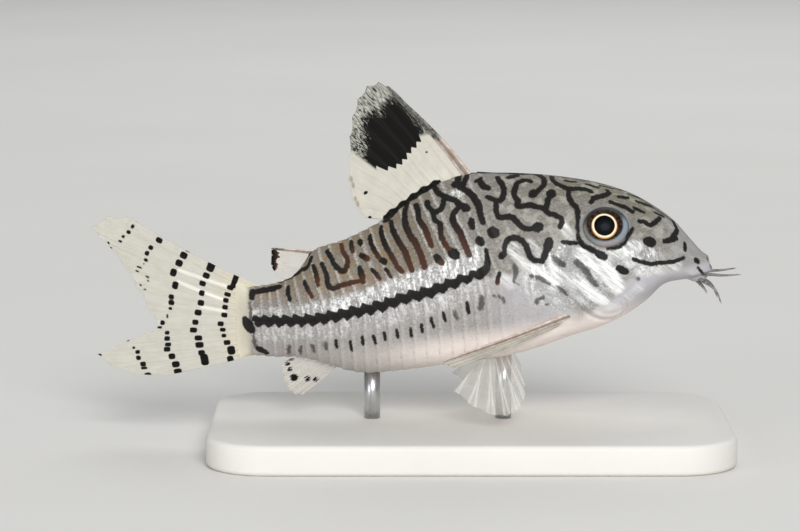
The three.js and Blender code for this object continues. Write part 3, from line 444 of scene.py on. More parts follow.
def camera_ways():
    """The camera's ways right, up and back towards itself."""
    tip, turn = math.radians(CAMERA["tip"]), math.radians(CAMERA["turn"])
    back = np.array([math.sin(turn) * math.cos(tip), -math.cos(turn) * math.cos(tip), math.sin(tip)])
    right = np.array([math.cos(turn), math.sin(turn), 0])
    return right, np.cross(back, right), back


def in_photo(points):
    """The photo pixels at which points of the straight fish are seen once it is in its pose."""
    right, up, back = camera_ways()
    offset = place(points) - CAMERA["at"]
    scale = PHOTO[0] / CAMERA["wide"] / (1 - offset @ back / CAMERA["far"])
    return np.stack([PHOTO[0] / 2 + scale * (offset @ right), PHOTO[1] / 2 - scale * (offset @ up)], -1)


def right_flank(pair):
    """Points of the right flank from s and the turn down from the back."""
    across, height, _, _ = rim(pair[:, 0], pair[:, 1])
    return np.stack([pair[:, 0], -across, height], -1)


def middle_plane(pair):
    """Points of the plane down the middle of the fish from s and z."""
    return np.stack([pair[:, 0], np.zeros(len(pair)), pair[:, 1]], -1)


def from_photo(lines, surface=right_flank, starts=FLANK_STARTS, low=FLANK_LOW, high=FLANK_HIGH):
    """Lines of photo pixels as lines of (s, z), where the surface is seen at those pixels.

    The pair of numbers that surface() takes is found by least squares in short steps, from each start in turn
    until the point is within a fifth of a pixel. Where the surface doesn't reach a pixel, it is the nearest.
    """
    pixels = np.vstack(lines)
    snout = in_photo(np.zeros(3))[0]
    best, miss = np.zeros(pixels.shape), np.full(len(pixels), np.inf)
    for start in starts:
        pair = np.stack([(snout - pixels[:, 0]) * PIXEL, np.full(len(pixels), start)], -1)
        for _ in range(60):
            here = in_photo(surface(pair))
            moved = [in_photo(surface(pair + nudge)) for nudge in NUDGE * np.eye(2)]
            slope = (np.stack(moved, -1) - here[..., None]) / NUDGE
            back = slope.swapaxes(1, 2)
            square = back @ slope
            square += 1e-5 * np.trace(square, axis1=1, axis2=2)[:, None, None] * np.eye(2)
            move = np.linalg.solve(square, back @ (pixels - here)[..., None])[..., 0]
            pair = np.clip(pair + np.clip(move, (-2, -0.3), (2, 0.3)), low, high)
        away = np.linalg.norm(in_photo(surface(pair)) - pixels, axis=1)
        better = (miss > 0.2) & (away < miss - 0.05)
        best[better], miss[better] = pair[better], away[better]
    points = surface(best)[:, [0, 2]]
    return np.split(points, np.cumsum([len(line) for line in lines])[:-1])


def placed(marks):
    """Marks whose points, which come last, are turned into (s, z), to a tenth of a millimetre."""
    lines = from_photo([mark[-1] for mark in marks])
    return [(*mark[:-1], line.round(1)) for mark, line in zip(marks, lines)]


def smooth(x, low, high):
    """A soft step from 0 at low to 1 at high."""
    t = np.clip((x - low) / (high - low), 0, 1)
    return t * t * (3 - 2 * t)


def curve(points, count):
    """Points along a smooth curve through the ones given."""
    points = np.array(points, float)
    if len(points) == 2:
        return points[0] + (points[1] - points[0]) * np.linspace(0, 1, 3)[:, None]
    ends = np.vstack([2 * points[0] - points[1], points, 2 * points[-1] - points[-2]])
    at = np.linspace(0, len(points) - 1, count)
    i = np.minimum(at.astype(int), len(points) - 2)
    t = (at - i)[:, None]
    a, b, c, d = (ends[i + k] for k in range(4))
    return 0.5 * (2 * b + (c - a) * t + (2 * a - 5 * b + 4 * c - d) * t**2 + (3 * b - a - 3 * c + d) * t**3)


def near(points, line, reach=1.2):
    """Which points lie near a line, their distance from it, and how far along it, from 0 to 1."""
    keep = np.nonzero(((points > line.min(0) - reach) & (points < line.max(0) + reach)).all(1))[0]
    start, step = line[:-1], np.diff(line, axis=0)
    offset = points[keep][:, None] - start
    t = np.clip((offset * step).sum(2) / np.maximum((step * step).sum(1), 1e-9), 0, 1)
    away = np.linalg.norm(offset - t[..., None] * step, axis=2)
    best = away.argmin(1)
    rows = np.arange(len(keep))
    return keep, away[rows, best], (best + t[rows, best]) / len(step)


def eye_frame(side):
    """The middle of the eye on the skin, and the ways it looks, along it and up it."""
    forward, up = math.radians(EYE["forward"]), math.radians(EYE["up"])
    out = np.array([-math.sin(forward), side * math.cos(forward) * math.cos(up), math.sin(up)])
    out /= np.linalg.norm(out)
    along = np.array([-1.0, 0, 0]) - out * -out[0]
    along /= np.linalg.norm(along)
    return flank(EYE["s"], EYE["z"], side), out, along, np.cross(out, along) * side


def from_eye(points, side):
    """How far points are from the eye's axis, with the ball's edge at EYE_EDGE, and their depth."""
    middle, out, along, up = eye_frame(side)
    offset = points - middle
    return EYE_EDGE * np.hypot(offset @ along / EYE["long"], offset @ up / EYE["tall"]), offset @ out


def scute_edges():
    """Where the plates start along the trunk, and where the last one ends."""
    lengths = np.linspace(1, SCUTE_TAPER, SCUTES)
    lengths *= (SCUTE_LAST - SCUTE_FIRST) / lengths.sum()
    return np.concatenate([[SCUTE_FIRST], SCUTE_FIRST + np.cumsum(lengths)])


def scute_phase(s, z):
    """How far along its own plate a point is, from 0 to 1."""
    lean = SCUTE_LEAN * smooth(s, HEAD_END + 0.2, HEAD_END + LEAN_IN)
    lean *= 1 - smooth(s, SCUTE_LAST - LEAN_IN, SCUTE_LAST)
    over = z - size_at("line", s)
    back = lean * np.where(over > 0, over, -LEAN_BELOW * over)
    return np.interp(s - back, scute_edges(), np.arange(SCUTES + 1.0)) % 1


def plate_distance(points, outline):
    """Distance inside a closed outline, in the side view. Negative outside."""
    ring = curve(outline + outline[:1], 60)
    inside = np.zeros(len(points), bool)
    for a, b in zip(ring[:-1], ring[1:]):
        crosses = (a[1] > points[:, 1]) != (b[1] > points[:, 1])
        lean = (b[0] - a[0]) / (b[1] - a[1] + 1e-12)
        inside ^= crosses & (points[:, 0] < a[0] + (points[:, 1] - a[1]) * lean)
    keep, away, _ = near(points, ring, 3)
    distance = np.full(len(points), -3.0)
    distance[keep] = np.where(inside[keep], away, -away)
    return distance


# Meshes
def make(name, points, faces, nodes, attributes=None):
    """A smooth piece from points in millimetres of the straight fish, riding on the root."""
    mesh = bpy.data.meshes.new(name)
    mesh.from_pydata((place(points) * MM).tolist(), [], faces)
    mesh.update()
    mesh.calc_loop_triangles()
    corners = np.empty(3 * len(mesh.loop_triangles), int)
    mesh.loop_triangles.foreach_get("vertices", corners)
    a, b, c = (points[corners.reshape(-1, 3)[:, i]] * [-1, 1, 1] for i in range(3))
    if (np.cross(a, b) * c).sum() < 0:
        mesh.flip_normals()
    for key, values in (attributes or {}).items():
        if values.ndim == 2:
            mesh.attributes.new(key, "FLOAT_VECTOR", "POINT").data.foreach_set("vector", values.ravel())
        else:
            mesh.attributes.new(key, "FLOAT", "POINT").data.foreach_set("value", values)
    mesh.polygons.foreach_set("use_smooth", [True] * len(mesh.polygons))
    piece = bpy.data.objects.new(name, mesh)
    bpy.context.scene.collection.objects.link(piece)
    return finish_piece(piece, nodes)


def finish_piece(piece, nodes):
    """Ties a piece to the root and hides the nodes that it replaces."""
    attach(piece, "root")
    if nodes:
        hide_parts(*nodes)
    return piece


def grid_faces(rows, columns, closed, start=0, flip=False):
    """Quads between the points of a grid, whose rows are rings if it is closed."""
    faces = []
    for r in range(rows - 1):
        for c in range(columns if closed else columns - 1):
            d = (c + 1) % columns
            quad = [start + r * columns + c, start + r * columns + d, start + (r + 1) * columns + d,
                    start + (r + 1) * columns + c]
            faces.append(quad[::-1] if flip else quad)
    return faces


def tube(name, line, radius, nodes, flat=1.0, sides=14):
    """A round feeler or spine along a line, with a rounded tip."""
    line = np.asarray(line)
    count = len(line)
    along = np.gradient(line, axis=0)
    along /= np.linalg.norm(along, axis=1)[:, None]
    across = np.cross(along, [0.0, 0.0, 1.0]) + np.cross(along, [0.01, 0.0, 0.0])
    across /= np.linalg.norm(across, axis=1)[:, None]
    up = np.cross(across, along)
    turn = np.linspace(0, 2 * math.pi, sides, endpoint=False)
    ends = 1 - np.maximum(np.arange(count) - (count - 4), 0) ** 2 / 12
    size = radius(np.linspace(0, 1, count)) * ends
    rings = (line[:, None] + np.cos(turn)[None, :, None] * (across * (size * flat)[:, None])[:, None]
             + np.sin(turn)[None, :, None] * (up * size[:, None])[:, None])
    points = np.vstack([rings.reshape(-1, 3), line[:1], line[-1:] + along[-1:] * size[-1] * 0.8])
    faces = grid_faces(count, sides, True)
    first, last = count * sides, count * sides + 1
    for c in range(sides):
        d = (c + 1) % sides
        faces.append([first, d, c])
        faces.append([last, (count - 1) * sides + c, (count - 1) * sides + d])
    t = np.concatenate([np.repeat(np.linspace(0, 1, count), sides), [0, 1]])
    round_it = np.concatenate([np.tile(np.cos(turn), count), [0, 0]])
    return make(name, points, faces, nodes, {"along": t, "round": round_it, "fish": points.copy()})


# The skin
def skin_grid():
    """Rings of the trunk from the lips to the tail fin's root, as s and turn, closer together on the head."""
    s = np.concatenate([np.linspace(STATIONS[0, 0], 1.9, 34, endpoint=False),
                        np.linspace(1.9, 17, 134, endpoint=False), np.linspace(17, STALK_END, 214),
                        np.linspace(STALK_END + 0.08, SKIN_END, 14)])
    half = SKIN_AROUND // 2
    dense = np.linspace(0, math.pi, 500)
    shares = np.linspace(0, 1, half + 1)
    shares = 1.16 * shares - 0.16 * (1 - (1 - shares) ** 2)
    shares = shares * 0.75 + 0.25 * np.linspace(0, 1, half + 1)
    turns = []
    for ring in s:
        y, z, _, _ = rim(min(ring, STALK_END), dense)
        length = np.concatenate([[0], np.cumsum(np.hypot(np.diff(y), np.diff(z)))])
        turns.append(np.interp(shares * length[-1], length, dense))
    turns = np.array(turns)
    turns = np.concatenate([turns, turns[:, -2:0:-1]], axis=1)
    side = np.concatenate([np.ones(half + 1), -np.ones(half - 1)])
    return np.repeat(s[:, None], SKIN_AROUND, 1), turns, np.repeat(side[None], len(s), 0)


def skin_relief(s, turn, side, base, sizes):
    """Height of the skin's own relief over its smooth form, in millimetres."""
    z = base[:, 2]
    phase = scute_phase(s, z)
    plated = smooth(s, SCUTE_FIRST + 0.5, SCUTE_FIRST + 5) * (1 - smooth(s, SCUTE_LAST - 0.3, SCUTE_LAST))
    bare = smooth(turn, 2.25, 2.7) * (1 - smooth(s, 26, 34))
    lift = sizes.plate_rise * (phase**0.8 - 0.45) * (1 - smooth(phase, 0.93, 1.0)) * plated * (1 - bare)
    seam = z - size_at("line", s)
    lift -= 0.1 * np.exp(-(seam / 0.16) ** 2) * plated
    # Gill cover and the ridge of the shoulder bone behind it
    plate = plate_distance(base[:, [0, 2]], GILL_PLATE)
    lift += 0.2 * smooth(plate, -0.02, 0.5) - 0.2 * np.exp(-((plate + 0.14) / 0.13) ** 2)
    lift += 0.05 * np.sin(plate * 7) * (plate > 0.3) * (plate < 1.6)
    # Cheek bone below the eye
    cheek = 1 - np.hypot((base[:, 0] - 6.4) / 2.4, (z - 0.5) / 1.3)
    lift += 0.12 * smooth(cheek, 0, 0.25)
    # Lips and the slit between them
    front = 1 - smooth(s, 0.9, 1.8)
    lift += front * (0.34 * np.exp(-((z + 1.62) / 0.34) ** 2) + 0.3 * np.exp(-((z + 2.55) / 0.3) ** 2))
    lift -= front * 0.34 * np.exp(-((z + 2.12) / 0.13) ** 2)
    for way in (1, -1):
        near_side = side == way
        # Eye socket with its soft rim
        radius, depth = from_eye(base, way)
        here = near_side & (depth > -2.6)
        lift = np.where(here, lift * smooth(radius, EYE_EDGE, EYE_EDGE + 0.7), lift)
        lift += np.where(here, 0.12 * np.exp(-((radius - EYE_EDGE - 0.06) / 0.18) ** 2), 0)
        lift -= np.where(here, 1.5 * (1 - smooth(radius, EYE_EDGE - 0.4, EYE_EDGE - 0.08)), 0)
        # Nostril: a raised tube with a pit in it
        pit = np.linalg.norm(base - flank(*NOSTRIL, way), axis=1)
        lift += np.where(near_side, 0.2 * np.exp(-((pit - 0.36) / 0.13) ** 2), 0)
        lift -= np.where(near_side, 0.42 * (1 - smooth(pit, 0.05, 0.3)), 0)
    return lift


def mark_fields(base, side, sizes):
    """Distances from the painted lines, in millimetres: below zero is inside one."""
    ink, grey = np.full(len(base), 1.2), np.full(len(base), 1.2)
    brown = np.zeros(len(base))
    marks = placed(MARKS) + END_MARKS
    for way in (-1, 1):
        rows = np.nonzero((side == way) | (np.abs(base[:, 1]) < 0.4))[0]
        points = base[rows]
        for _, w, kind, line in marks:
            line = curve(line, 4 * len(line))
            # The left flank has the same marks a little shifted, as a real fish's sides differ
            if way > 0:
                line = line + 0.32 * np.stack([np.sin(0.9 * line[:, 1] + 0.7 * line[:, 0]),
                                               np.sin(1.1 * line[:, 0] + 0.4 * line[:, 1])], -1)
            line = flank(line[:, 0], line[:, 1], way)
            keep, away, along = near(points, line)
            hit = rows[keep]
            away = away - 0.5 * w * sizes.line_width * (0.86 + 0.14 * np.sin(math.pi * along))
            if kind == "g":
                grey[hit] = np.minimum(grey[hit], away)
                continue
            closer = away < ink[hit]
            ink[hit] = np.where(closer, away, ink[hit])
            fade = smooth(along, 0.25, 0.95) if kind == "f" else np.zeros(len(along))
            brown[hit] = np.where(closer, fade, brown[hit])
    return ink, grey, brown


def add_stripe(ink, base, side, stripe, stripe_end):
    """Adds the lateral stripe, with a tooth on each plate, to the distances from the black lines."""
    for way in (-1, 1):
        rows = np.nonzero(side == way)[0]
        points = base[rows]
        run = flank(*curve(stripe, 90).T, way)
        up = flank(*curve(stripe_end, 30).T, way)
        phase = scute_phase(points[:, 0], points[:, 2])
        keep, away, _ = near(points, run)
        over = points[keep, 2] > np.interp(points[keep, 0], *stripe[::-1].T)
        tooth = (phase[keep] + np.where(over, 0, 0.35)) % 1
        tooth = np.where(tooth < 0.7, tooth / 0.7, (1 - tooth) / 0.3)
        width = STRIPE_WIDTH * np.interp(points[keep, 0], [21.8, 27], [0.8, 1])
        away = away - 0.5 * width - 0.42 * (tooth - 0.5)
        ink[rows[keep]] = np.minimum(ink[rows[keep]], away)
        keep, away, along = near(points, up)
        away = away - 0.5 * STRIPE_WIDTH * (1 - 0.62 * along)
        ink[rows[keep]] = np.minimum(ink[rows[keep]], away)


def skin_fields(base, turn, side, sizes):
    """What the skin's material reads at each point: distances in millimetres, and shares from 0 to 1."""
    s, z = base[:, 0], base[:, 2]
    ink, grey, brown = mark_fields(base, side, sizes)
    stripe, stripe_end = from_photo([STRIPE, STRIPE_END])
    add_stripe(ink, base, side, stripe, stripe_end)
    phase = scute_phase(s, z)
    over = z - np.interp(s, *stripe[::-1].T)
    fade = smooth(over, np.interp(s, [21, 45], [2.3, 0.8]), np.interp(s, [21, 45], [3.1, 1.5]))
    band = smooth(over, 0.1, 0.5) * (1 - fade)
    band *= smooth(s, 20.5, 22) * (1 - 0.45 * smooth(s, 34, 45))
    under = 0.45 * smooth(-over, 0.3, 0.7) * (1 - smooth(-over, 1.6, 2.6)) * smooth(s, 20, 23)
    cover = 1 - np.hypot((s - 12.6) / 6.2, (z - 0.6) / 4.2)
    cheek = 1 - np.hypot((s - 6.3) / 2.9, (z - 0.8) / 2.0)
    shine = np.maximum(smooth(cover, 0.0, 0.4), 0.9 * smooth(cheek, 0.0, 0.45))
    shine = np.clip(np.maximum(band + under, shine), 0, 1)
    # A painted highlight: a pale silver spot on the shoulder at the back fin's root
    shine = np.maximum(shine, 1 - smooth(np.hypot((s - 22.75) / 0.9, (z - 10.2) / 0.5), 0.6, 1.1))
    top = size_at("top", s)
    olive = smooth(top - z, 2.6, 0.2) * (1 - smooth(s, 11, 20)) * smooth(s, 0.5, 3.5)
    olive = np.maximum(olive, 0.6 * smooth(over, 2.0, 4.0) * smooth(s, 21, 29))
    rust = smooth(over, 1.3, 2.6) * smooth(s, 24, 33) * (1 - smooth(s, 44, 45.2))
    belly = smooth(-z, 2.4, 4.8) * (1 - 0.8 * smooth(s, 25, 36))
    lower = smooth(-over, 0.3, 0.8) * smooth(s, 12, 15)
    throat = smooth(np.interp(s, [0, 3, 7, 10, 13], [-0.4, -0.4, 0.2, -2.0, -3.4]) - z, 0, 1)
    throat *= 1 - smooth(s, 11, 15)
    throat = np.maximum(throat, 0.6 * lower * (1 - smooth(s, 18, 23)))
    # Painted highlights: soft white strokes on the cheek and gill cover, on each flank
    painted_highlight = np.zeros(len(base))
    highlight_lines = placed(HIGHLIGHT_STROKES)
    for way in (-1, 1):
        rows = np.nonzero(side == way)[0]
        for _, w, strength, line in highlight_lines:
            keep, away, _ = near(base[rows], flank(*curve(line, 24).T, way))
            hit = rows[keep]
            painted_highlight[hit] = np.maximum(painted_highlight[hit], strength * (1 - smooth(away, 0.25 * w, 0.75 * w)))
    gill = smooth(1 - np.hypot((s - 11.5) / 6.5, (z + 0.6) / 4.6), 0, 0.35)
    snout = 1 - smooth(s, 1.0, 5.5)
    bare = smooth(turn, 2.25, 2.7) * (1 - smooth(s, 26, 34))
    plated = smooth(s, SCUTE_FIRST + 1, SCUTE_FIRST + 6) * (1 - bare)
    tail = smooth(s, STALK_END - 0.5, STALK_END + 0.3)
    socket = np.full(len(base), 5.0)
    for way in (1, -1):
        radius, depth = from_eye(base, way)
        socket = np.where((side == way) & (depth > -2.6), np.minimum(socket, radius), socket)
    around = np.stack([s, side * turn * 6.0, z], -1)
    return {"ink": ink, "grey": grey, "brown": brown, "phase": phase, "shine": shine, "olive": olive,
            "belly": belly, "lower": lower, "snout": snout, "plated": plated, "socket": socket, "gill": gill,
            "tail": tail, "throat": throat, "painted_highlight": painted_highlight, "rust": rust, "around": around}


def build_skin(sizes):
    s, turn, side = (a.ravel() for a in skin_grid())
    rings = len(s) // SKIN_AROUND
    y, z, ny, nz = rim(np.minimum(s, STALK_END), turn)
    base = np.stack([s, side * y, z], -1)
    normal = np.stack([np.zeros(len(s)), side * ny, nz], -1)
    lift = skin_relief(s, turn, side, base, sizes)
    lips = smooth(s, 0.2, -0.85) * 0.5
    points = base + normal * lift[:, None]
    # Behind the last plates the stalk narrows into the fin
    end = np.clip((s - STALK_END) / (SKIN_END - STALK_END), 0, 1)
    points[:, 1] *= 0.04 + 0.96 * (1 - end) ** 1.3
    points[:, 2] = -0.5 + (points[:, 2] + 0.5) * (1 + np.where(points[:, 2] > -0.5, 0.24, 0.1) * end)
    points[:, 0] -= lips * np.clip(lift + 0.1, 0, 0.4)
    fields = skin_fields(base, turn, side, sizes)
    nose = np.array([[-0.98, 0, -1.3]])
    rear = np.array([[SKIN_END + 0.02, 0, float(size_at("line", STALK_END))]])
    points = np.vstack([points, nose, rear])
    faces = grid_faces(rings, SKIN_AROUND, True)
    first, last = len(s), len(s) + 1
    for c in range(SKIN_AROUND):
        d = (c + 1) % SKIN_AROUND
        faces.append([first, d, c])
        faces.append([last, (rings - 1) * SKIN_AROUND + c, (rings - 1) * SKIN_AROUND + d])
    # The closing points at the nose and the rear carry the first point's values, clear of every line
    ends = {"ink": 1.2, "grey": 1.2, "socket": 5.0}
    fields = {k: (np.vstack([v, v[:1], v[-1:]]) if v.ndim == 2 else np.append(v, [ends.get(k, v[0])] * 2))
              for k, v in fields.items()}
    nodes = ["head", "torso", "tail", "gill_cover_left", "gill_cover_right"]
    return make("fish_skin", points, faces, nodes, fields)


# Fins
def fin_points(form, across, along, side=1):
    """Middle points of a fin's sheet, columns across the rays by rows from root to tip."""
    roots, tips = curve(form["roots"], across), curve(form["tips"], across)
    step = tips - roots
    starts = roots - step / np.linalg.norm(step, axis=1)[:, None] * FIN_SUNK
    share = np.linspace(0, 1, across)
    notch = 1 - 0.022 * np.abs(np.sin(share * (form["rays"] - 1) * math.pi))
    t = np.linspace(0, 1, along)[None, :, None] * notch[:, None, None]
    points = starts[:, None] + (tips - starts)[:, None] * t
    bow = np.sin(math.pi * t[..., 0])
    points[..., 0] += form["arch"][0] * bow
    points[..., 1] = side * (points[..., 1] + form["arch"][1] * bow)
    return points


def fin_ridges(form, across, along):
    """Ray ridges over the sheet, 0 on the membrane and 1 on a ray, splitting in two towards the tips."""
    share = np.linspace(0, 1, across)[:, None] * (form["rays"] - 1)
    t = np.linspace(0, 1, along)[None]
    whole = np.exp(-((share - np.round(share)) / 0.12) ** 2)
    gap = 0.16 * smooth(t, 0.35, 1.0)
    branch = np.exp(-((np.abs(share - np.round(share)) - gap) / 0.075) ** 2)
    return whole * (1 - smooth(t, 0.3, 0.6)) + branch * smooth(t, 0.3, 0.6)


def build_fin(name, form, nodes, web, side=1, along=48, per_ray=10, ray=0.11, fields=None):
    across = (form["rays"] - 1) * per_ray + 1
    middle = fin_points(form, across, along, side)
    ridge = fin_ridges(form, across, along)
    t = np.repeat(np.linspace(0, 1, along)[None], across, 0)
    share = np.repeat(np.linspace(0, 1, across)[:, None], along, 1)
    normal = np.cross(np.gradient(middle, axis=0), np.gradient(middle, axis=1))
    normal /= np.linalg.norm(normal, axis=2)[..., None]
    rim_fade = smooth(np.minimum(np.minimum(share, 1 - share) * (form["rays"] - 1) * 3, (1 - t) * 14), 0, 1)
    thick = (web + ray * ridge * (1 - 0.75 * t)) * (0.2 + 0.8 * rim_fade)
    ripple = 0.04 * np.sin(share * (form["rays"] - 1) * math.pi * 2) * t
    middle = middle + normal * ripple[..., None]
    top = (middle + normal * thick[..., None]).reshape(-1, 3)
    low = (middle - normal * thick[..., None]).reshape(-1, 3)
    count = across * along
    faces = grid_faces(across, along, False) + grid_faces(across, along, False, count, True)
    edge = ([c * along for c in range(across)] + [(across - 1) * along + r for r in range(1, along)]
            + [c * along + along - 1 for c in range(across - 2, -1, -1)] + list(range(along - 2, 0, -1)))
    for a, b in zip(edge, edge[1:] + edge[:1]):
        faces.append([a, b, b + count, a + count])
    flat = middle.reshape(-1, 3)
    values = {"ray": ridge.ravel(), "along": t.ravel(), "share": share.ravel() * (form["rays"] - 1)}
    values.update(fields(flat, share.ravel()) if fields else {"ink": np.full(count, 1.0)})
    values = {k: np.concatenate([v, v]) for k, v in values.items()}
    values["fish"] = np.vstack([top, low])
    return make(name, np.vstack([top, low]), faces, nodes, values)


def tail_dots(points, share):
    """Distances from the tail fin's dots, which lie along its rays, and from the painted highlight streaks on
    a few rays.
    """
    flat = points[:, [0, 2]]
    ink = np.full(len(points), 1.0)
    middles = from_photo([[dot[:2] for dot in TAIL_DOTS]], middle_plane, (0,), -80, 80)[0].round(1)
    for middle, dot in zip(middles, TAIL_DOTS):
        long, wide = dot[2] * PIXEL, dot[3] * PIXEL
        way = middle - TAIL_FOCUS
        way /= np.linalg.norm(way)
        offset = flat - middle
        corner = 0.35 * min(long, wide)
        along = np.abs(offset @ way) - long / 2 + corner
        across = np.abs(offset @ (-way[1], way[0])) - wide / 2 + corner
        inner = np.minimum(np.maximum(along, across), 0)
        away = np.hypot(np.maximum(along, 0), np.maximum(across, 0)) + inner
        ink = np.minimum(ink, away - corner)
    painted_highlight = np.full(len(points), 1.0)
    for line in TAIL_HIGHLIGHTS:
        keep, away, _ = near(flat, np.array(line))
        painted_highlight[keep] = np.minimum(painted_highlight[keep], away)
    return {"ink": ink, "painted_highlight": painted_highlight}


def dorsal_blotch(points, share):
    """The back fin's black patch with its toothed foot, its specks, and where its tip is mottled."""
    s, z = points[:, 0], points[:, 2]
    teeth = 0.24 * (np.abs((share * 15) % 1 - 0.5) * 4 - 1) * smooth(z, 17.5, 15.5)
    patch = teeth - plate_distance(points[:, [0, 2]], DORSAL_PATCH)
    ink = np.full(len(points), 1.0)
    for x, y, r, lean in ((25.0, 14.6, 0.13, 0), (32.2, 11.5, 0.24, 0.5), (32.1, 9.0, 0.2, 0)):
        ink = np.minimum(ink, np.hypot(s - x + lean * (z - y), (z - y) * 1.3) - r)
    base = z - size_at("top", s) - 0.42 + 0.1 * np.sin(5 * s)
    base = base + 2 * smooth(s, 24.2, 23.6) + 2 * smooth(s, 30.6, 31.2)
    ink = np.minimum(ink, base)
    smudge = np.full(len(points), 1.0)
    for x, y, r in ((33.6, 13.0, 0.22), (33.45, 12.4, 0.2), (33.4, 11.0, 0.18), (33.2, 10.5, 0.2)):
        smudge = np.minimum(smudge, np.hypot(s - x, (z - y) * 0.6) - r)
    floor = np.interp(s, [26, 30.2, 30.7, 33.3], [16.3, 16.3, 13.6, 15.9])
    low = smooth(z, 18.2, 16.2) * smooth(s, 29.5, 30.5)
    mottle = smooth(z - floor, -0.15, 0.3)
    return {"ink": np.minimum(patch, ink), "smudge": smudge, "mottle": mottle, "low": low}


def spots(*places):
    """A fin's round spots, from their s, z and radius."""
    def field(points, share):
        ink = np.full(len(points), 1.0)
        for s, z, r in places:
            ink = np.minimum(ink, np.hypot(points[:, 0] - s, points[:, 2] - z) - r)
        return {"ink": ink}
    return field


# Eyes
def build_eye(word, side):
    middle, out, u, v = eye_frame(side)
    rows, columns = 60, 72
    polar = np.linspace(0, math.pi, rows)[1:-1]
    turn = np.linspace(0, 2 * math.pi, columns, endpoint=False)
    long, tall, h = EYE["long"], EYE["tall"], EYE["bulge"]
    centre = middle - out * EYE["sunk"]
    edge = np.cos(turn)[:, None] * u * long + np.sin(turn)[:, None] * v * tall
    ring = centre + (out * (h * np.cos(polar))[:, None])[:, None] + np.sin(polar)[:, None, None] * edge
    points = np.vstack([ring.reshape(-1, 3), [centre + out * h], [centre - out * h]])
    faces = grid_faces(rows - 2, columns, True)
    first, last = len(points) - 2, len(points) - 1
    for c in range(columns):
        d = (c + 1) % columns
        faces.append([first, d, c])
        faces.append([last, (rows - 3) * columns + c, (rows - 3) * columns + d])
    offset = points - centre
    along, up = offset @ u, offset @ v
    radius = np.where(offset @ out < 0, 3.0, np.hypot(along + PUPIL_BACK, up))
    edge = np.where(offset @ out < 0, 3.0, EYE_EDGE * np.hypot(along / long, up / tall))
    fields = {"radius": radius, "edge": edge, "rise": up / tall, "fore": along / long, "fish": points.copy()}
    return make(f"eye_{word}_ball", points, faces, [f"eye_{word}"], fields)


# Materials
class Graph:
    """A Principled material and short calls for its nodes. Patterns read attributes given in millimetres."""

    def __init__(self, name, **settings):
        self.material = bpy.data.materials.new(name)
        self.material.use_nodes = True
        self.tree = self.material.node_tree
        self.shader = self.tree.nodes["Principled BSDF"]
        self.set(**settings)

    def set(self, **settings):
        for key, value in settings.items():
            self.plug(self.shader.inputs[key.replace("_", " ")], value)

    def plug(self, socket, value):
        if isinstance(value, bpy.types.NodeSocket):
            self.tree.links.new(value, socket)
        elif isinstance(value, str):
            socket.default_value = (*tint(value), 1)
        elif hasattr(value, "__len__") and len(value) == 3 and len(socket.default_value) == 4:
            socket.default_value = (*value, 1)
        else:
            socket.default_value = value

    def node(self, kind, inputs=None, **settings):
        made = self.tree.nodes.new("ShaderNode" + kind)
        for key, value in settings.items():
            setattr(made, key, value)
        for key, value in (inputs or {}).items():
            self.plug(made.inputs[key], value)
        return made

    def read(self, name, out="Fac"):
        return self.node("Attribute", attribute_name=name).outputs[out]

    def math(self, operation, a, b):
        return self.node("Math", {0: a, 1: b}, operation=operation).outputs[0]

    def times(self, a, b):
        return self.math("MULTIPLY", a, b)

    def plus(self, a, b):
        return self.math("ADD", a, b)

    def minus(self, a, b):
        return self.math("SUBTRACT", a, b)

    def ramp(self, value, low, high, start=0.0, end=1.0):
        inputs = {"Value": value, "From Min": low, "From Max": high, "To Min": start, "To Max": end}
        return self.node("MapRange", inputs, interpolation_type="SMOOTHSTEP").outputs[0]

    def mix(self, share, a, b):
        return self.node("Mix", {0: share, 6: a, 7: b}, data_type="RGBA").outputs[2]

    def noise(self, at, scale, detail=2.0, rough=0.5):
        inputs = {"Vector": at, "Scale": scale, "Detail": detail, "Roughness": rough}
        return self.node("TexNoise", inputs).outputs[0]

    def cells(self, at, scale, out="Distance"):
        return self.node("TexVoronoi", {"Vector": at, "Scale": scale}).outputs[out]

    def stretch(self, at, size):
        return self.node("VectorMath", {0: at, 1: size}, operation="MULTIPLY").outputs[0]

    def bump(self, height, distance, strength=1.0):
        self.plug(self.shader.inputs["Normal"], self.node(
            "Bump", {"Height": height, "Distance": distance, "Strength": strength}).outputs[0])


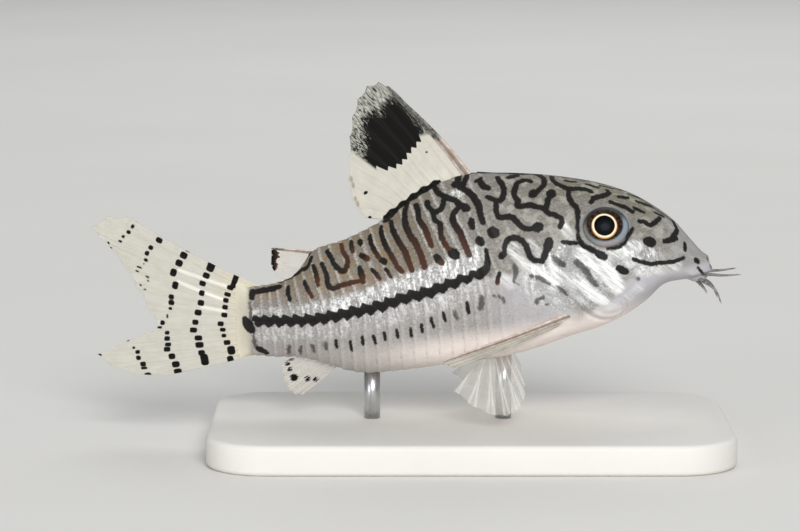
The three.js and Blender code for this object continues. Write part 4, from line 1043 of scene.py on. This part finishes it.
def skin_material(colours):
    # Wet skin over bony plates: silver with painted glints on its grains and painted highlight strokes, grey
    # between black lines, pink below.
    g = Graph("moist plated skin", Coat_Weight=0.05, Coat_Roughness=0.25, Specular_IOR_Level=0.2)
    at = g.read("around", "Vector")
    ink, grey, brown = g.read("ink"), g.read("grey"), g.read("brown")
    shine, phase, plated, gill = g.read("shine"), g.read("phase"), g.read("plated"), g.read("gill")
    fine = g.noise(at, 4.0, 4.0, 0.65)
    soft = g.noise(at, 0.8, 3.0, 0.55)
    # Fine streaks run up and down the plates, and slant down and forwards over the gill cover
    upright = g.noise(g.stretch(at, (2.6, 0.6, 0.6)), 1.0, 4.0, 0.65)
    parts = g.node("SeparateXYZ", {0: at})
    slant = g.node("CombineXYZ", {0: g.minus(parts.outputs[0], parts.outputs[2]),
                                  1: g.times(g.plus(parts.outputs[0], parts.outputs[2]), 0.16)})
    slanted = g.noise(slant.outputs[0], 1.0, 4.0, 0.65)
    streak = g.plus(g.times(upright, g.minus(1.0, gill)), g.times(slanted, gill))
    grain = g.cells(at, 7.5)
    pick = g.node("SeparateColor", {0: g.cells(at, 7.5, "Color")}).outputs[0]
    darker, paler = g.mix(0.16, colours.flank, "#2f2c29"), g.mix(0.16, colours.flank, "#cfccc6")
    colour = g.mix(g.ramp(fine, 0.3, 0.7), darker, paler)
    colour = g.mix(g.times(g.read("lower"), g.ramp(fine, 0.25, 0.7, 0.6, 1.0)), colour, colours.lower)
    colour = g.mix(g.times(g.read("olive"), g.ramp(soft, 0.35, 0.62, 0.25, 0.9)), colour, colours.crown)
    colour = g.mix(g.times(g.read("rust"), g.ramp(soft, 0.35, 0.62, 0.05, 0.45)), colour, "#8f7454")
    colour = g.mix(g.times(g.ramp(soft, 0.48, 0.62, 0.0, 0.55), g.ramp(plated, 1.0, 0.0)), colour, "#a9a89d")
    colour = g.mix(g.times(g.read("snout"), 0.6), colour, "#a5a3a1")
    colour = g.mix(g.times(g.read("throat"), 0.9), colour, "#b3b1b6")
    # Silver, pale all over and bright in streaks
    colour = g.mix(g.times(shine, g.ramp(soft, 0.3, 0.6, 0.55, 0.85)), colour, "#9b9b99")
    bright = g.times(shine, g.ramp(g.plus(g.times(streak, 0.75), g.times(fine, 0.4)), 0.53, 0.7))
    colour = g.mix(g.times(bright, g.ramp(gill, 0.0, 1.0, 1.0, 0.45)), colour, colours.silver)
    # Painted highlights: white strokes on the cheek and gill cover, broken into streaks
    lines = g.noise(g.stretch(slant.outputs[0], (3.4, 1.6, 1.0)), 1.0, 3.0, 0.6)
    broken_highlight = g.times(g.ramp(slanted, 0.36, 0.6, 0.3, 1.0), g.ramp(lines, 0.34, 0.54, 0.35, 1.0))
    colour = g.mix(g.times(g.read("painted_highlight"), broken_highlight), colour, "#f7f7f5")
    colour = g.mix(g.times(g.read("belly"), g.ramp(soft, 0.2, 0.7, 0.8, 1.0)), colour, colours.belly)
    # The plates' overlaps: a thin band of painted shade at each joint, then a painted highlight along the
    # raised rear edge
    joint_shade = g.times(g.math("MAXIMUM", g.ramp(phase, 0.12, 0.0), g.ramp(phase, 0.93, 1.0)), plated)
    colour = g.mix(g.times(joint_shade, 0.4), colour, "#57524d")
    edge = g.times(g.times(g.ramp(phase, 0.5, 0.86), g.ramp(phase, 0.96, 0.88)), plated)
    edge = g.times(edge, g.ramp(g.read("lower"), 0.0, 1.0, 1.0, 0.55))
    colour = g.mix(g.times(edge, g.ramp(fine, 0.35, 0.6, 0.1, 0.42)), colour, "#dddad6")
    # Painted glints: white flecks on the grains of silver in the skin
    painted_glint = g.times(g.ramp(grain, 0.36, 0.1), g.ramp(pick, 0.45, 0.7))
    painted_glint = g.times(painted_glint, g.plus(g.times(shine, 0.8), 0.3))
    colour = g.mix(painted_glint, colour, "#ffffff")
    colour = g.mix(g.read("tail"), colour, g.mix(0.5, colours.membrane, "#d8d0b8"))
    colour = g.mix(g.ramp(fine, 0.42, 0.28, 0.0, 0.22), colour, "#5d5954")
    # Lines: mottled grey ones, the dark ring round the eye, and black ones that fade to brown
    wobble = g.times(g.minus(g.noise(at, 2.6, 3.0, 0.6), 0.5), 0.36)
    ragged = g.times(g.minus(streak, 0.5), 0.9)
    mottled = g.ramp(g.plus(g.plus(grey, wobble), ragged), 0.14, -0.14, 0.0, 0.85)
    colour = g.mix(mottled, colour, "#3a3734")
    inside = g.ramp(g.plus(ink, wobble), 0.09, -0.07)
    ring = g.times(g.ramp(g.read("socket"), EYE_EDGE + 0.32, EYE_EDGE), 0.75)
    colour = g.mix(ring, colour, "#7b7c7b")
    pigment = g.mix(g.times(brown, 0.8), colours.lines, colours.fading)
    colour = g.mix(g.times(inside, 0.98), colour, pigment)
    g.set(Base_Color=colour, Metallic=g.times(g.times(bright, 0.3), g.minus(1.0, inside)),
          Roughness=g.plus(g.plus(0.38, g.times(fine, 0.25)), g.times(inside, 0.3)))
    height = g.times(g.times(fine, g.ramp(g.read("tail"), 1.0, 0.0)), 0.6)
    g.bump(g.plus(height, g.plus(g.times(grain, 0.3), g.times(streak, 0.6))), 0.00006, 0.5)
    return g.material


def fin_material(name, membrane, rays, thin, colours, kind="plain"):
    # Clear skin stretched over jointed bony rays, with pigment on both. The kind adds what only the back,
    # tail, small or fatty fins have.
    g = Graph(name, Roughness=0.55, Specular_IOR_Level=0.1)
    ray, along, ink, share = g.read("ray"), g.read("along"), g.read("ink"), g.read("share")
    at = g.node("CombineXYZ", {0: share, 1: along, 2: 0.0}).outputs[0]
    cloud = g.noise(g.read("fish", "Vector"), 0.9, 2.0)
    streak = g.noise(g.stretch(at, (5.0, 1.2, 1.0)), 2.0, 3.0, 0.6)
    colour = g.mix(g.ramp(cloud, 0.3, 0.7, 0.0, 0.5), membrane, "#dedbd0")
    colour = g.mix(g.times(ray, 0.45), colour, rays)
    colour = g.mix(g.ramp(streak, 0.45, 0.75, 0.0, 0.3), colour, "#a7a297")
    wobble = g.times(g.minus(g.noise(at, 7.0, 2.0), 0.5), 0.05)
    if kind in ("small", "fatty"):
        wobble = g.times(g.minus(g.noise(g.stretch(at, (5.0, 5.0, 1.0)), 1.3, 2.0), 0.5), 1.1)
    inside = g.ramp(g.plus(ink, wobble), 0.04, -0.04)
    if kind == "tail":
        # Cream towards the root, and painted highlight streaks along a few rays
        colour = g.mix(g.ramp(along, 0.4, 0.05, 0.0, 0.6), colour, "#d9cfb0")
        colour = g.mix(g.ramp(g.read("painted_highlight"), 0.28, 0.05, 0.0, 0.9), colour, "#fbf8ee")
    if kind == "back":
        # The tip's fine black and white streaks along the rays
        fray = g.noise(g.stretch(at, (9.0, 12.0, 1.0)), 1.6, 4.0, 0.7)
        fine = g.noise(g.stretch(at, (9.0, 18.0, 1.0)), 1.0, 3.0, 0.7)
        mottle = g.read("mottle")
        colour = g.mix(g.times(mottle, 0.75), colour, g.mix(g.ramp(fine, 0.35, 0.65), "#6a6c64", "#bcbeb6"))
        near_patch = g.plus(g.ramp(ink, 1.3, 0.0, 0.0, 0.16), g.times(g.read("low"), 0.04))
        zone = g.times(mottle, g.ramp(g.plus(fray, near_patch), 0.51, 0.6))
        inside = g.math("MAXIMUM", inside, zone)
        colour = g.mix(g.ramp(g.read("smudge"), 0.06, -0.1, 0.0, 0.55), colour, "#7d6450")
    pigment = colours.lines
    if kind == "fatty":
        pigment = g.mix(g.ramp(along, 0.97, 0.8, 0.0, 0.5), colours.lines, "#6a4228")
    colour = g.mix(inside, colour, pigment)
    clear = g.plus(thin, g.times(ray, 0.3))
    clear = g.plus(clear, g.ramp(along, 0.35, 0.05, 0.0, 0.3))
    if kind == "back":
        clear = g.plus(clear, g.times(g.read("mottle"), 0.25))
    g.set(Base_Color=colour, Alpha=g.math("MINIMUM", g.math("MAXIMUM", clear, g.times(inside, 0.985)), 1.0))
    g.bump(g.plus(g.times(streak, 0.4), ray), 0.00004, 0.2)
    return g.material


def spine_material(name, dark_from):
    # Bone under thin skin: pinkish at its root, mottled grey and black past dark_from of its length.
    g = Graph(name, Roughness=0.45, Specular_IOR_Level=0.35)
    at = g.read("fish", "Vector")
    along = g.read("along")
    mottle = g.noise(at, 1.6, 3.0, 0.6)
    colour = g.mix(g.ramp(mottle, 0.35, 0.65), "#bfa898", "#dccfc3")
    far = g.ramp(g.plus(along, g.times(g.minus(mottle, 0.5), 0.2)), dark_from, dark_from + 0.08)
    colour = g.mix(far, colour, g.mix(g.ramp(g.noise(at, 3.5, 3.0, 0.7), 0.42, 0.6), "#8d8d84", "#35342f"))
    edge = g.times(g.ramp(g.read("round"), 0.75, 0.98), 0.7)
    colour = g.mix(edge, colour, "#3a332d")
    g.set(Base_Color=colour)
    g.bump(g.noise(at, 5.0, 3.0), 0.00005, 0.5)
    return g.material


def eye_material(sizes):
    # A wet eye: black pupil with a faint painted blue sheen in its middle, cream ring with a gold edge, dark
    # iris and a blue-grey rim under clear skin.
    g = Graph("wet eye", Roughness=0.45, Coat_Weight=0.02, Coat_Roughness=0.1, Specular_IOR_Level=0.06)
    radius, rise, fore, edge = g.read("radius"), g.read("rise"), g.read("fore"), g.read("edge")
    at = g.read("fish", "Vector")
    fleck = g.noise(at, 4.0, 3.0, 0.6)
    wide = g.plus(radius, g.times(g.minus(fleck, 0.5), 0.07))
    pupil = sizes.pupil
    # Pupil: black, with a faint painted blue sheen in its middle
    colour = g.mix(g.ramp(radius, 0.0, 0.8 * pupil), "#060a18", "#020203")
    ring = g.ramp(wide, pupil - 0.03, pupil + 0.03)
    colour = g.mix(ring, colour, g.mix(g.ramp(wide, pupil + 0.12, pupil + 0.22), "#f6e6c8", "#bd8d52"))
    outer = g.ramp(g.plus(wide, g.times(rise, 0.06)), pupil + 0.2, pupil + 0.29)
    colour = g.mix(outer, colour, g.mix(g.ramp(fleck, 0.42, 0.66), "#17120f", "#46352a"))
    rear = g.plus(g.times(fore, 0.5), g.times(rise, -0.5))
    reach = g.plus(edge, g.times(rear, 0.35))
    skin = g.mix(g.ramp(rear, -0.3, 0.4), "#7e7c76", "#8b97a2")
    skin = g.mix(g.ramp(rise, 0.55, 0.0), "#3c3e40", skin)
    skin = g.mix(g.ramp(rise, -0.95, -0.55), "#a39490", skin)
    colour = g.mix(g.ramp(reach, 1.62, 1.88), colour, skin)
    colour = g.mix(g.ramp(edge, EYE_EDGE - 0.2, EYE_EDGE - 0.05), colour, "#4b4d4f")
    g.set(Base_Color=colour)
    return g.material


def feeler_material():
    # Soft wet skin, grey at the root and paler to the tip.
    g = Graph("soft feeler skin", Roughness=0.4, Coat_Weight=0.3, Coat_Roughness=0.2)
    at = g.read("fish", "Vector")
    colour = g.mix(g.read("along"), "#6e6966", "#8f8883")
    colour = g.mix(g.ramp(g.noise(at, 2.5, 2.0), 0.5, 0.62, 0.0, 0.7), colour, "#35322f")
    g.set(Base_Color=colour)
    g.bump(g.noise(at, 6.0, 2.0), 0.00003, 0.5)
    return g.material


def plinth_material(colours):
    # Satin acrylic: an even off-white with a faint haze.
    g = Graph("satin off-white acrylic", Roughness=0.5, Specular_IOR_Level=0.2)
    at = g.node("TexCoord").outputs["Object"]
    haze = g.noise(at, 90.0, 3.0)
    g.set(Base_Color=g.mix(haze, colours.plinth, g.mix(0.25, colours.plinth, "#ffffff")),
          Roughness=g.ramp(g.noise(at, 400.0, 2.0), 0.2, 0.8, 0.46, 0.6))
    g.bump(g.noise(at, 1500.0, 2.0), 0.00002, 0.4)
    return g.material


def rod_material():
    # Drawn steel with fine lines along the rod.
    g = Graph("drawn steel rod", Metallic=1.0, Roughness=0.28)
    at = g.node("TexCoord").outputs["Object"]
    lines = g.noise(g.stretch(at, (6000.0, 6000.0, 120.0)), 1.0, 2.0)
    g.set(Base_Color=g.mix(lines, "#b4b6b8", "#d2d3d4"), Roughness=g.ramp(lines, 0.2, 0.8, 0.22, 0.38))
    return g.material


def floor_material(colours):
    # Matt pale card.
    g = Graph("pale matt card", Roughness=0.8)
    at = g.node("TexCoord").outputs["Object"]
    soft = g.noise(at, 14.0, 3.0)
    g.set(Base_Color=g.mix(soft, colours.floor, g.mix(0.2, colours.floor, "#ffffff")))
    g.bump(g.noise(at, 900.0, 3.0), 0.0001, 0.3)
    return g.material


def colour_property(name, description, text):
    return FloatVectorProperty(name=name, description=description, size=3, subtype="COLOR", min=0, max=1,
                               default=tint(text))


class CatfishSizes(bpy.types.PropertyGroup):
    plate_rise: FloatProperty(name="Plate rise (mm)", description="How far each plate's rear edge stands up",
                              default=0.13, min=0, max=0.3)
    line_width: FloatProperty(name="Line width", description="Width of the black lines over the real one",
                              default=1.0, min=0.5, max=1.6)
    pupil: FloatProperty(name="Pupil (mm)", description="Radius of the pupil", default=1.03, min=0.5, max=1.4)
    fin_web: FloatProperty(name="Fin membrane (mm)", description="Half the thickness of the fins' skin",
                           default=0.05, min=0.03, max=0.2)
    floor: FloatProperty(name="Floor", description="Side of the floor", default=6.0, min=1, max=20,
                         unit="LENGTH")


class CatfishColours(bpy.types.PropertyGroup):
    lines: colour_property("Lines", "Black lines and spots", "#100e0d")
    fading: colour_property("Fading lines", "Brown that the bars fade to", "#4a2a1b")
    flank: colour_property("Flank", "Skin between the lines", "#736e67")
    silver: colour_property("Silver", "Gill covers and the band over the stripe", "#eeeeec")
    lower: colour_property("Lower flank", "Plates under the stripe", "#9c9794")
    belly: colour_property("Belly", "Bare skin of the belly", "#f4e8e1")
    crown: colour_property("Crown", "Top of the head", "#625c3f")
    membrane: colour_property("Membrane", "Skin of the tail and back fins", "#d0ccbf")
    plinth: colour_property("Plinth", "The stand's base", "#dcd9d2")
    floor: colour_property("Floor", "The floor", "#dedcd7")


def paint(piece, material):
    piece.data.materials.clear()
    piece.data.materials.append(material)
    return piece


class CATFISH_OT_skin(bpy.types.Operator):
    """Model the head, trunk and tail stalk as one plated skin with its lines"""
    bl_idname = "catfish.skin"
    bl_label = "Skin"

    def execute(self, context):
        paint(build_skin(context.scene.catfish_sizes), skin_material(context.scene.catfish_colours))
        return {"FINISHED"}


class CATFISH_OT_eyes(bpy.types.Operator):
    """Model both eyes"""
    bl_idname = "catfish.eyes"
    bl_label = "Eyes"

    def execute(self, context):
        material = eye_material(context.scene.catfish_sizes)
        for word, side in (("left", 1), ("right", -1)):
            paint(build_eye(word, side), material)
        return {"FINISHED"}


class CATFISH_OT_barbels(bpy.types.Operator):
    """Model the six feelers round the mouth"""
    bl_idname = "catfish.barbels"
    bl_label = "Barbels"

    def execute(self, context):
        material = feeler_material()
        for name, (root, middle, tip, thick) in BARBELS.items():
            for word, side in (("left", 1), ("right", -1)):
                line = curve([root, middle, tip], 26) * [1, side, 1]
                paint(tube(f"{name}_{word}_skin", line, lambda t, r=thick / 2: r * (1 - 0.72 * t),
                           [f"{name}_{word}"]), material)
        return {"FINISHED"}


class CATFISH_OT_middle_fins(bpy.types.Operator):
    """Model the back, fatty, anal and tail fins with their spines"""
    bl_idname = "catfish.middle_fins"
    bl_label = "Back, anal and tail fins"

    def execute(self, context):
        colours = context.scene.catfish_colours
        web = context.scene.catfish_sizes.fin_web
        dorsal = fin_material("back fin skin", colours.membrane, "#a9a698", 0.7, colours, "back")
        tail = fin_material("tail fin skin", colours.membrane, "#b5b1a2", 0.5, colours, "tail")
        small = fin_material("small fin skin", "#cfc5b8", "#ddd3c6", 0.22, colours, "small")
        fatty = fin_material("fatty fin skin", "#cfc5b8", "#ddd3c6", 0.22, colours, "fatty")
        paint(build_fin("dorsal_fin_skin", FINS["dorsal_fin"], ["dorsal_fin"], web, along=100, per_ray=14,
                        ray=0.06, fields=dorsal_blotch), dorsal)
        paint(build_fin("tail_fin_skin", TAIL_FIN, ["caudal_fin_upper", "caudal_fin_lower"], web, along=150,
                        ray=0.07, fields=tail_dots), tail)
        adipose = spots((42.5, 6.25, 0.46), (42.6, 5.75, 0.45), (42.7, 5.25, 0.4), (42.75, 4.8, 0.33))
        paint(build_fin("adipose_fin_skin", FINS["adipose_fin"], ["adipose_fin"], web, along=30, per_ray=14,
                        fields=adipose), fatty)
        anal = spots((41.6, -4.6, 0.2), (42.0, -5.1, 0.22), (41.8, -5.7, 0.22), (41.4, -6.5, 0.36),
                     (40.1, -6.7, 0.26), (39.4, -6.9, 0.2))
        paint(build_fin("anal_fin_skin", FINS["anal_fin"], ["anal_fin"], web, along=30, fields=anal), small)
        spines = (("dorsal_spine", "dorsal_fin", 0.5, 0.42), ("adipose_spine", "adipose_fin", 0.25, 0.7))
        for name, key, thick, dark in spines:
            line = fin_points(FINS[key], 5, 40)[0]
            paint(tube(name, line, lambda t, r=thick: r * (1 - 0.6 * t), [], 0.8),
                  spine_material(f"skin over {name}", dark))
        return {"FINISHED"}


class CATFISH_OT_paired_fins(bpy.types.Operator):
    """Model the fins of the chest and belly on both sides"""
    bl_idname = "catfish.paired_fins"
    bl_label = "Paired fins"

    def execute(self, context):
        colours = context.scene.catfish_colours
        web = context.scene.catfish_sizes.fin_web
        clear = fin_material("paired fin skin", "#d5d2cb", "#faf8f4", 0.17, colours)
        folded = fin_material("folded fin skin", "#b7b1a6", "#8e877c", 0.7, colours)
        bone = spine_material("skin over chest spine", 1.2)
        for word, side in (("left", 1), ("right", -1)):
            for key in ("pectoral_fin", "pelvic_fin"):
                paint(build_fin(f"{key}_{word}_skin", FINS[key], [f"{key}_{word}"], web, side),
                      clear if key == "pelvic_fin" else folded)
            line = fin_points(FINS["pectoral_fin"], 5, 40, side)[0]
            paint(tube(f"pectoral_spine_{word}", line, lambda t: 0.36 * (1 - 0.6 * t), [], 0.7), bone)
        return {"FINISHED"}


class CATFISH_OT_stand(bpy.types.Operator):
    """Model the flat base and the two rods that hold the fish up"""
    bl_idname = "catfish.stand"
    bl_label = "Stand"

    def execute(self, context):
        low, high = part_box("stand_base")
        size = [h - l for l, h in zip(low, high)]
        bpy.ops.object.select_all(action="DESELECT")
        bpy.ops.mesh.primitive_cube_add(size=1)
        base = context.object
        base.name = base.data.name = "stand_plinth"
        bpy.ops.object.mode_set(mode="EDIT")
        bpy.ops.mesh.select_all(action="SELECT")
        bpy.ops.transform.resize(value=size)
        bpy.ops.transform.translate(value=(0, 0, size[2] / 2))
        bpy.ops.object.mode_set(mode="OBJECT")
        heights = [vertex.co.z for vertex in base.data.vertices]
        upright = [edge.index for edge in base.data.edges
                   if abs(heights[edge.vertices[0]] - heights[edge.vertices[1]]) > 0.001]
        weight = base.data.attributes.new("bevel_weight_edge", "FLOAT", "EDGE")
        for index in upright:
            weight.data[index].value = 1.0
        corners = base.modifiers.new("corners", "BEVEL")
        corners.limit_method, corners.width, corners.segments = "WEIGHT", BASE_CORNER * MM, 16
        edges = base.modifiers.new("edges", "BEVEL")
        edges.limit_method, edges.width, edges.segments = "ANGLE", 0.5 * MM, 4
        edges.angle_limit = math.radians(60)
        for modifier in ("corners", "edges"):
            bpy.ops.object.modifier_apply(modifier=modifier)
        bpy.ops.object.shade_smooth()
        finish_piece(base, ["stand_base"])
        paint(base, plinth_material(context.scene.catfish_colours))
        steel = rod_material()
        for word in ("front", "rear"):
            low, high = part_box(f"stand_rod_{word}")
            bottom, top = low[2] - 0.3 * MM, high[2] + 0.5 * MM
            x, y = (low[0] + high[0]) / 2, (low[1] + high[1]) / 2
            bpy.ops.object.select_all(action="DESELECT")
            bpy.ops.mesh.primitive_cylinder_add(vertices=48, radius=ROD_RADIUS * MM, depth=top - bottom,
                                                location=(x, y, (top + bottom) / 2))
            rod = context.object
            rod.name = rod.data.name = f"stand_steel_{word}"
            bpy.ops.object.transform_apply(location=True, rotation=True, scale=True)
            bpy.ops.object.shade_smooth()
            finish_piece(rod, [f"stand_rod_{word}"])
            paint(rod, steel)
        return {"FINISHED"}


class CATFISH_OT_stage(bpy.types.Operator):
    """Set up the floor, the soft lights and the camera"""
    bl_idname = "catfish.stage"
    bl_label = "Stage"

    def execute(self, context):
        scene = context.scene
        bpy.ops.object.select_all(action="DESELECT")
        bpy.ops.mesh.primitive_plane_add(size=scene.catfish_sizes.floor)
        floor = context.object
        floor.name = "floor"
        floor.data.materials.append(floor_material(scene.catfish_colours))
        world = bpy.data.worlds.new("soft room")
        scene.world = world
        scene.view_settings.view_transform = "Standard"
        world.use_nodes = True
        world.node_tree.nodes["Background"].inputs[0].default_value = (*tint("#e4e8ec"), 1)
        world.node_tree.nodes["Background"].inputs[1].default_value = 0.36
        lamps = (("key", (0.2, -1.1, 0.62), 0.6, 12.8), ("fill", (-0.5, -0.5, 0.14), 0.45, 1.1),
                 ("back", (0.1, 0.55, 0.6), 0.7, 2.0))
        for name, spot, size, power in lamps:
            lamp = bpy.data.lights.new(name, "AREA")
            lamp.shape, lamp.size, lamp.energy = "DISK", size, power
            holder = bpy.data.objects.new(name, lamp)
            holder.location = spot
            aim = (np.array([0, 0.45 if name == "back" else 0, 0.018]) - np.array(spot)).tolist()
            holder.rotation_euler = direction(aim)
            scene.collection.objects.link(holder)
        camera = bpy.data.cameras.new("camera")
        camera.sensor_width, camera.lens = 36, 36 * CAMERA["far"] / CAMERA["wide"]
        camera.clip_start, camera.clip_end = 0.01, 20
        holder = bpy.data.objects.new("camera", camera)
        _, _, back = camera_ways()
        holder.location = (np.array(CAMERA["at"]) + back * CAMERA["far"]) * MM
        holder.rotation_euler = direction((-back).tolist())
        scene.collection.objects.link(holder)
        scene.camera = holder
        return {"FINISHED"}


def direction(aim):
    return Vector(aim).to_track_quat("-Z", "Y").to_euler()


STEPS = ("skin", "eyes", "barbels", "middle_fins", "paired_fins", "stand", "stage")


class CATFISH_PT_panel(bpy.types.Panel):
    bl_idname = "CATFISH_PT_panel"
    bl_label = "Catfish"
    bl_space_type = "VIEW_3D"
    bl_region_type = "UI"
    bl_category = "Catfish"

    def draw(self, context):
        for group in (context.scene.catfish_sizes, context.scene.catfish_colours):
            for name in group.__annotations__:
                self.layout.prop(group, name)
        for step in STEPS:
            self.layout.operator(f"catfish.{step}")


CLASSES = (CatfishSizes, CatfishColours, CATFISH_OT_skin, CATFISH_OT_eyes, CATFISH_OT_barbels,
           CATFISH_OT_middle_fins, CATFISH_OT_paired_fins, CATFISH_OT_stand, CATFISH_OT_stage,
           CATFISH_PT_panel)


def register():
    for cls in CLASSES:
        bpy.utils.register_class(cls)
    bpy.types.Scene.catfish_sizes = PointerProperty(type=CatfishSizes)
    bpy.types.Scene.catfish_colours = PointerProperty(type=CatfishColours)


def unregister():
    del bpy.types.Scene.catfish_sizes
    del bpy.types.Scene.catfish_colours
    for cls in reversed(CLASSES):
        bpy.utils.unregister_class(cls)


def main():
    register()
    for step in STEPS:
        getattr(bpy.ops.catfish, step)()


if __name__ == "__main__":
    main()
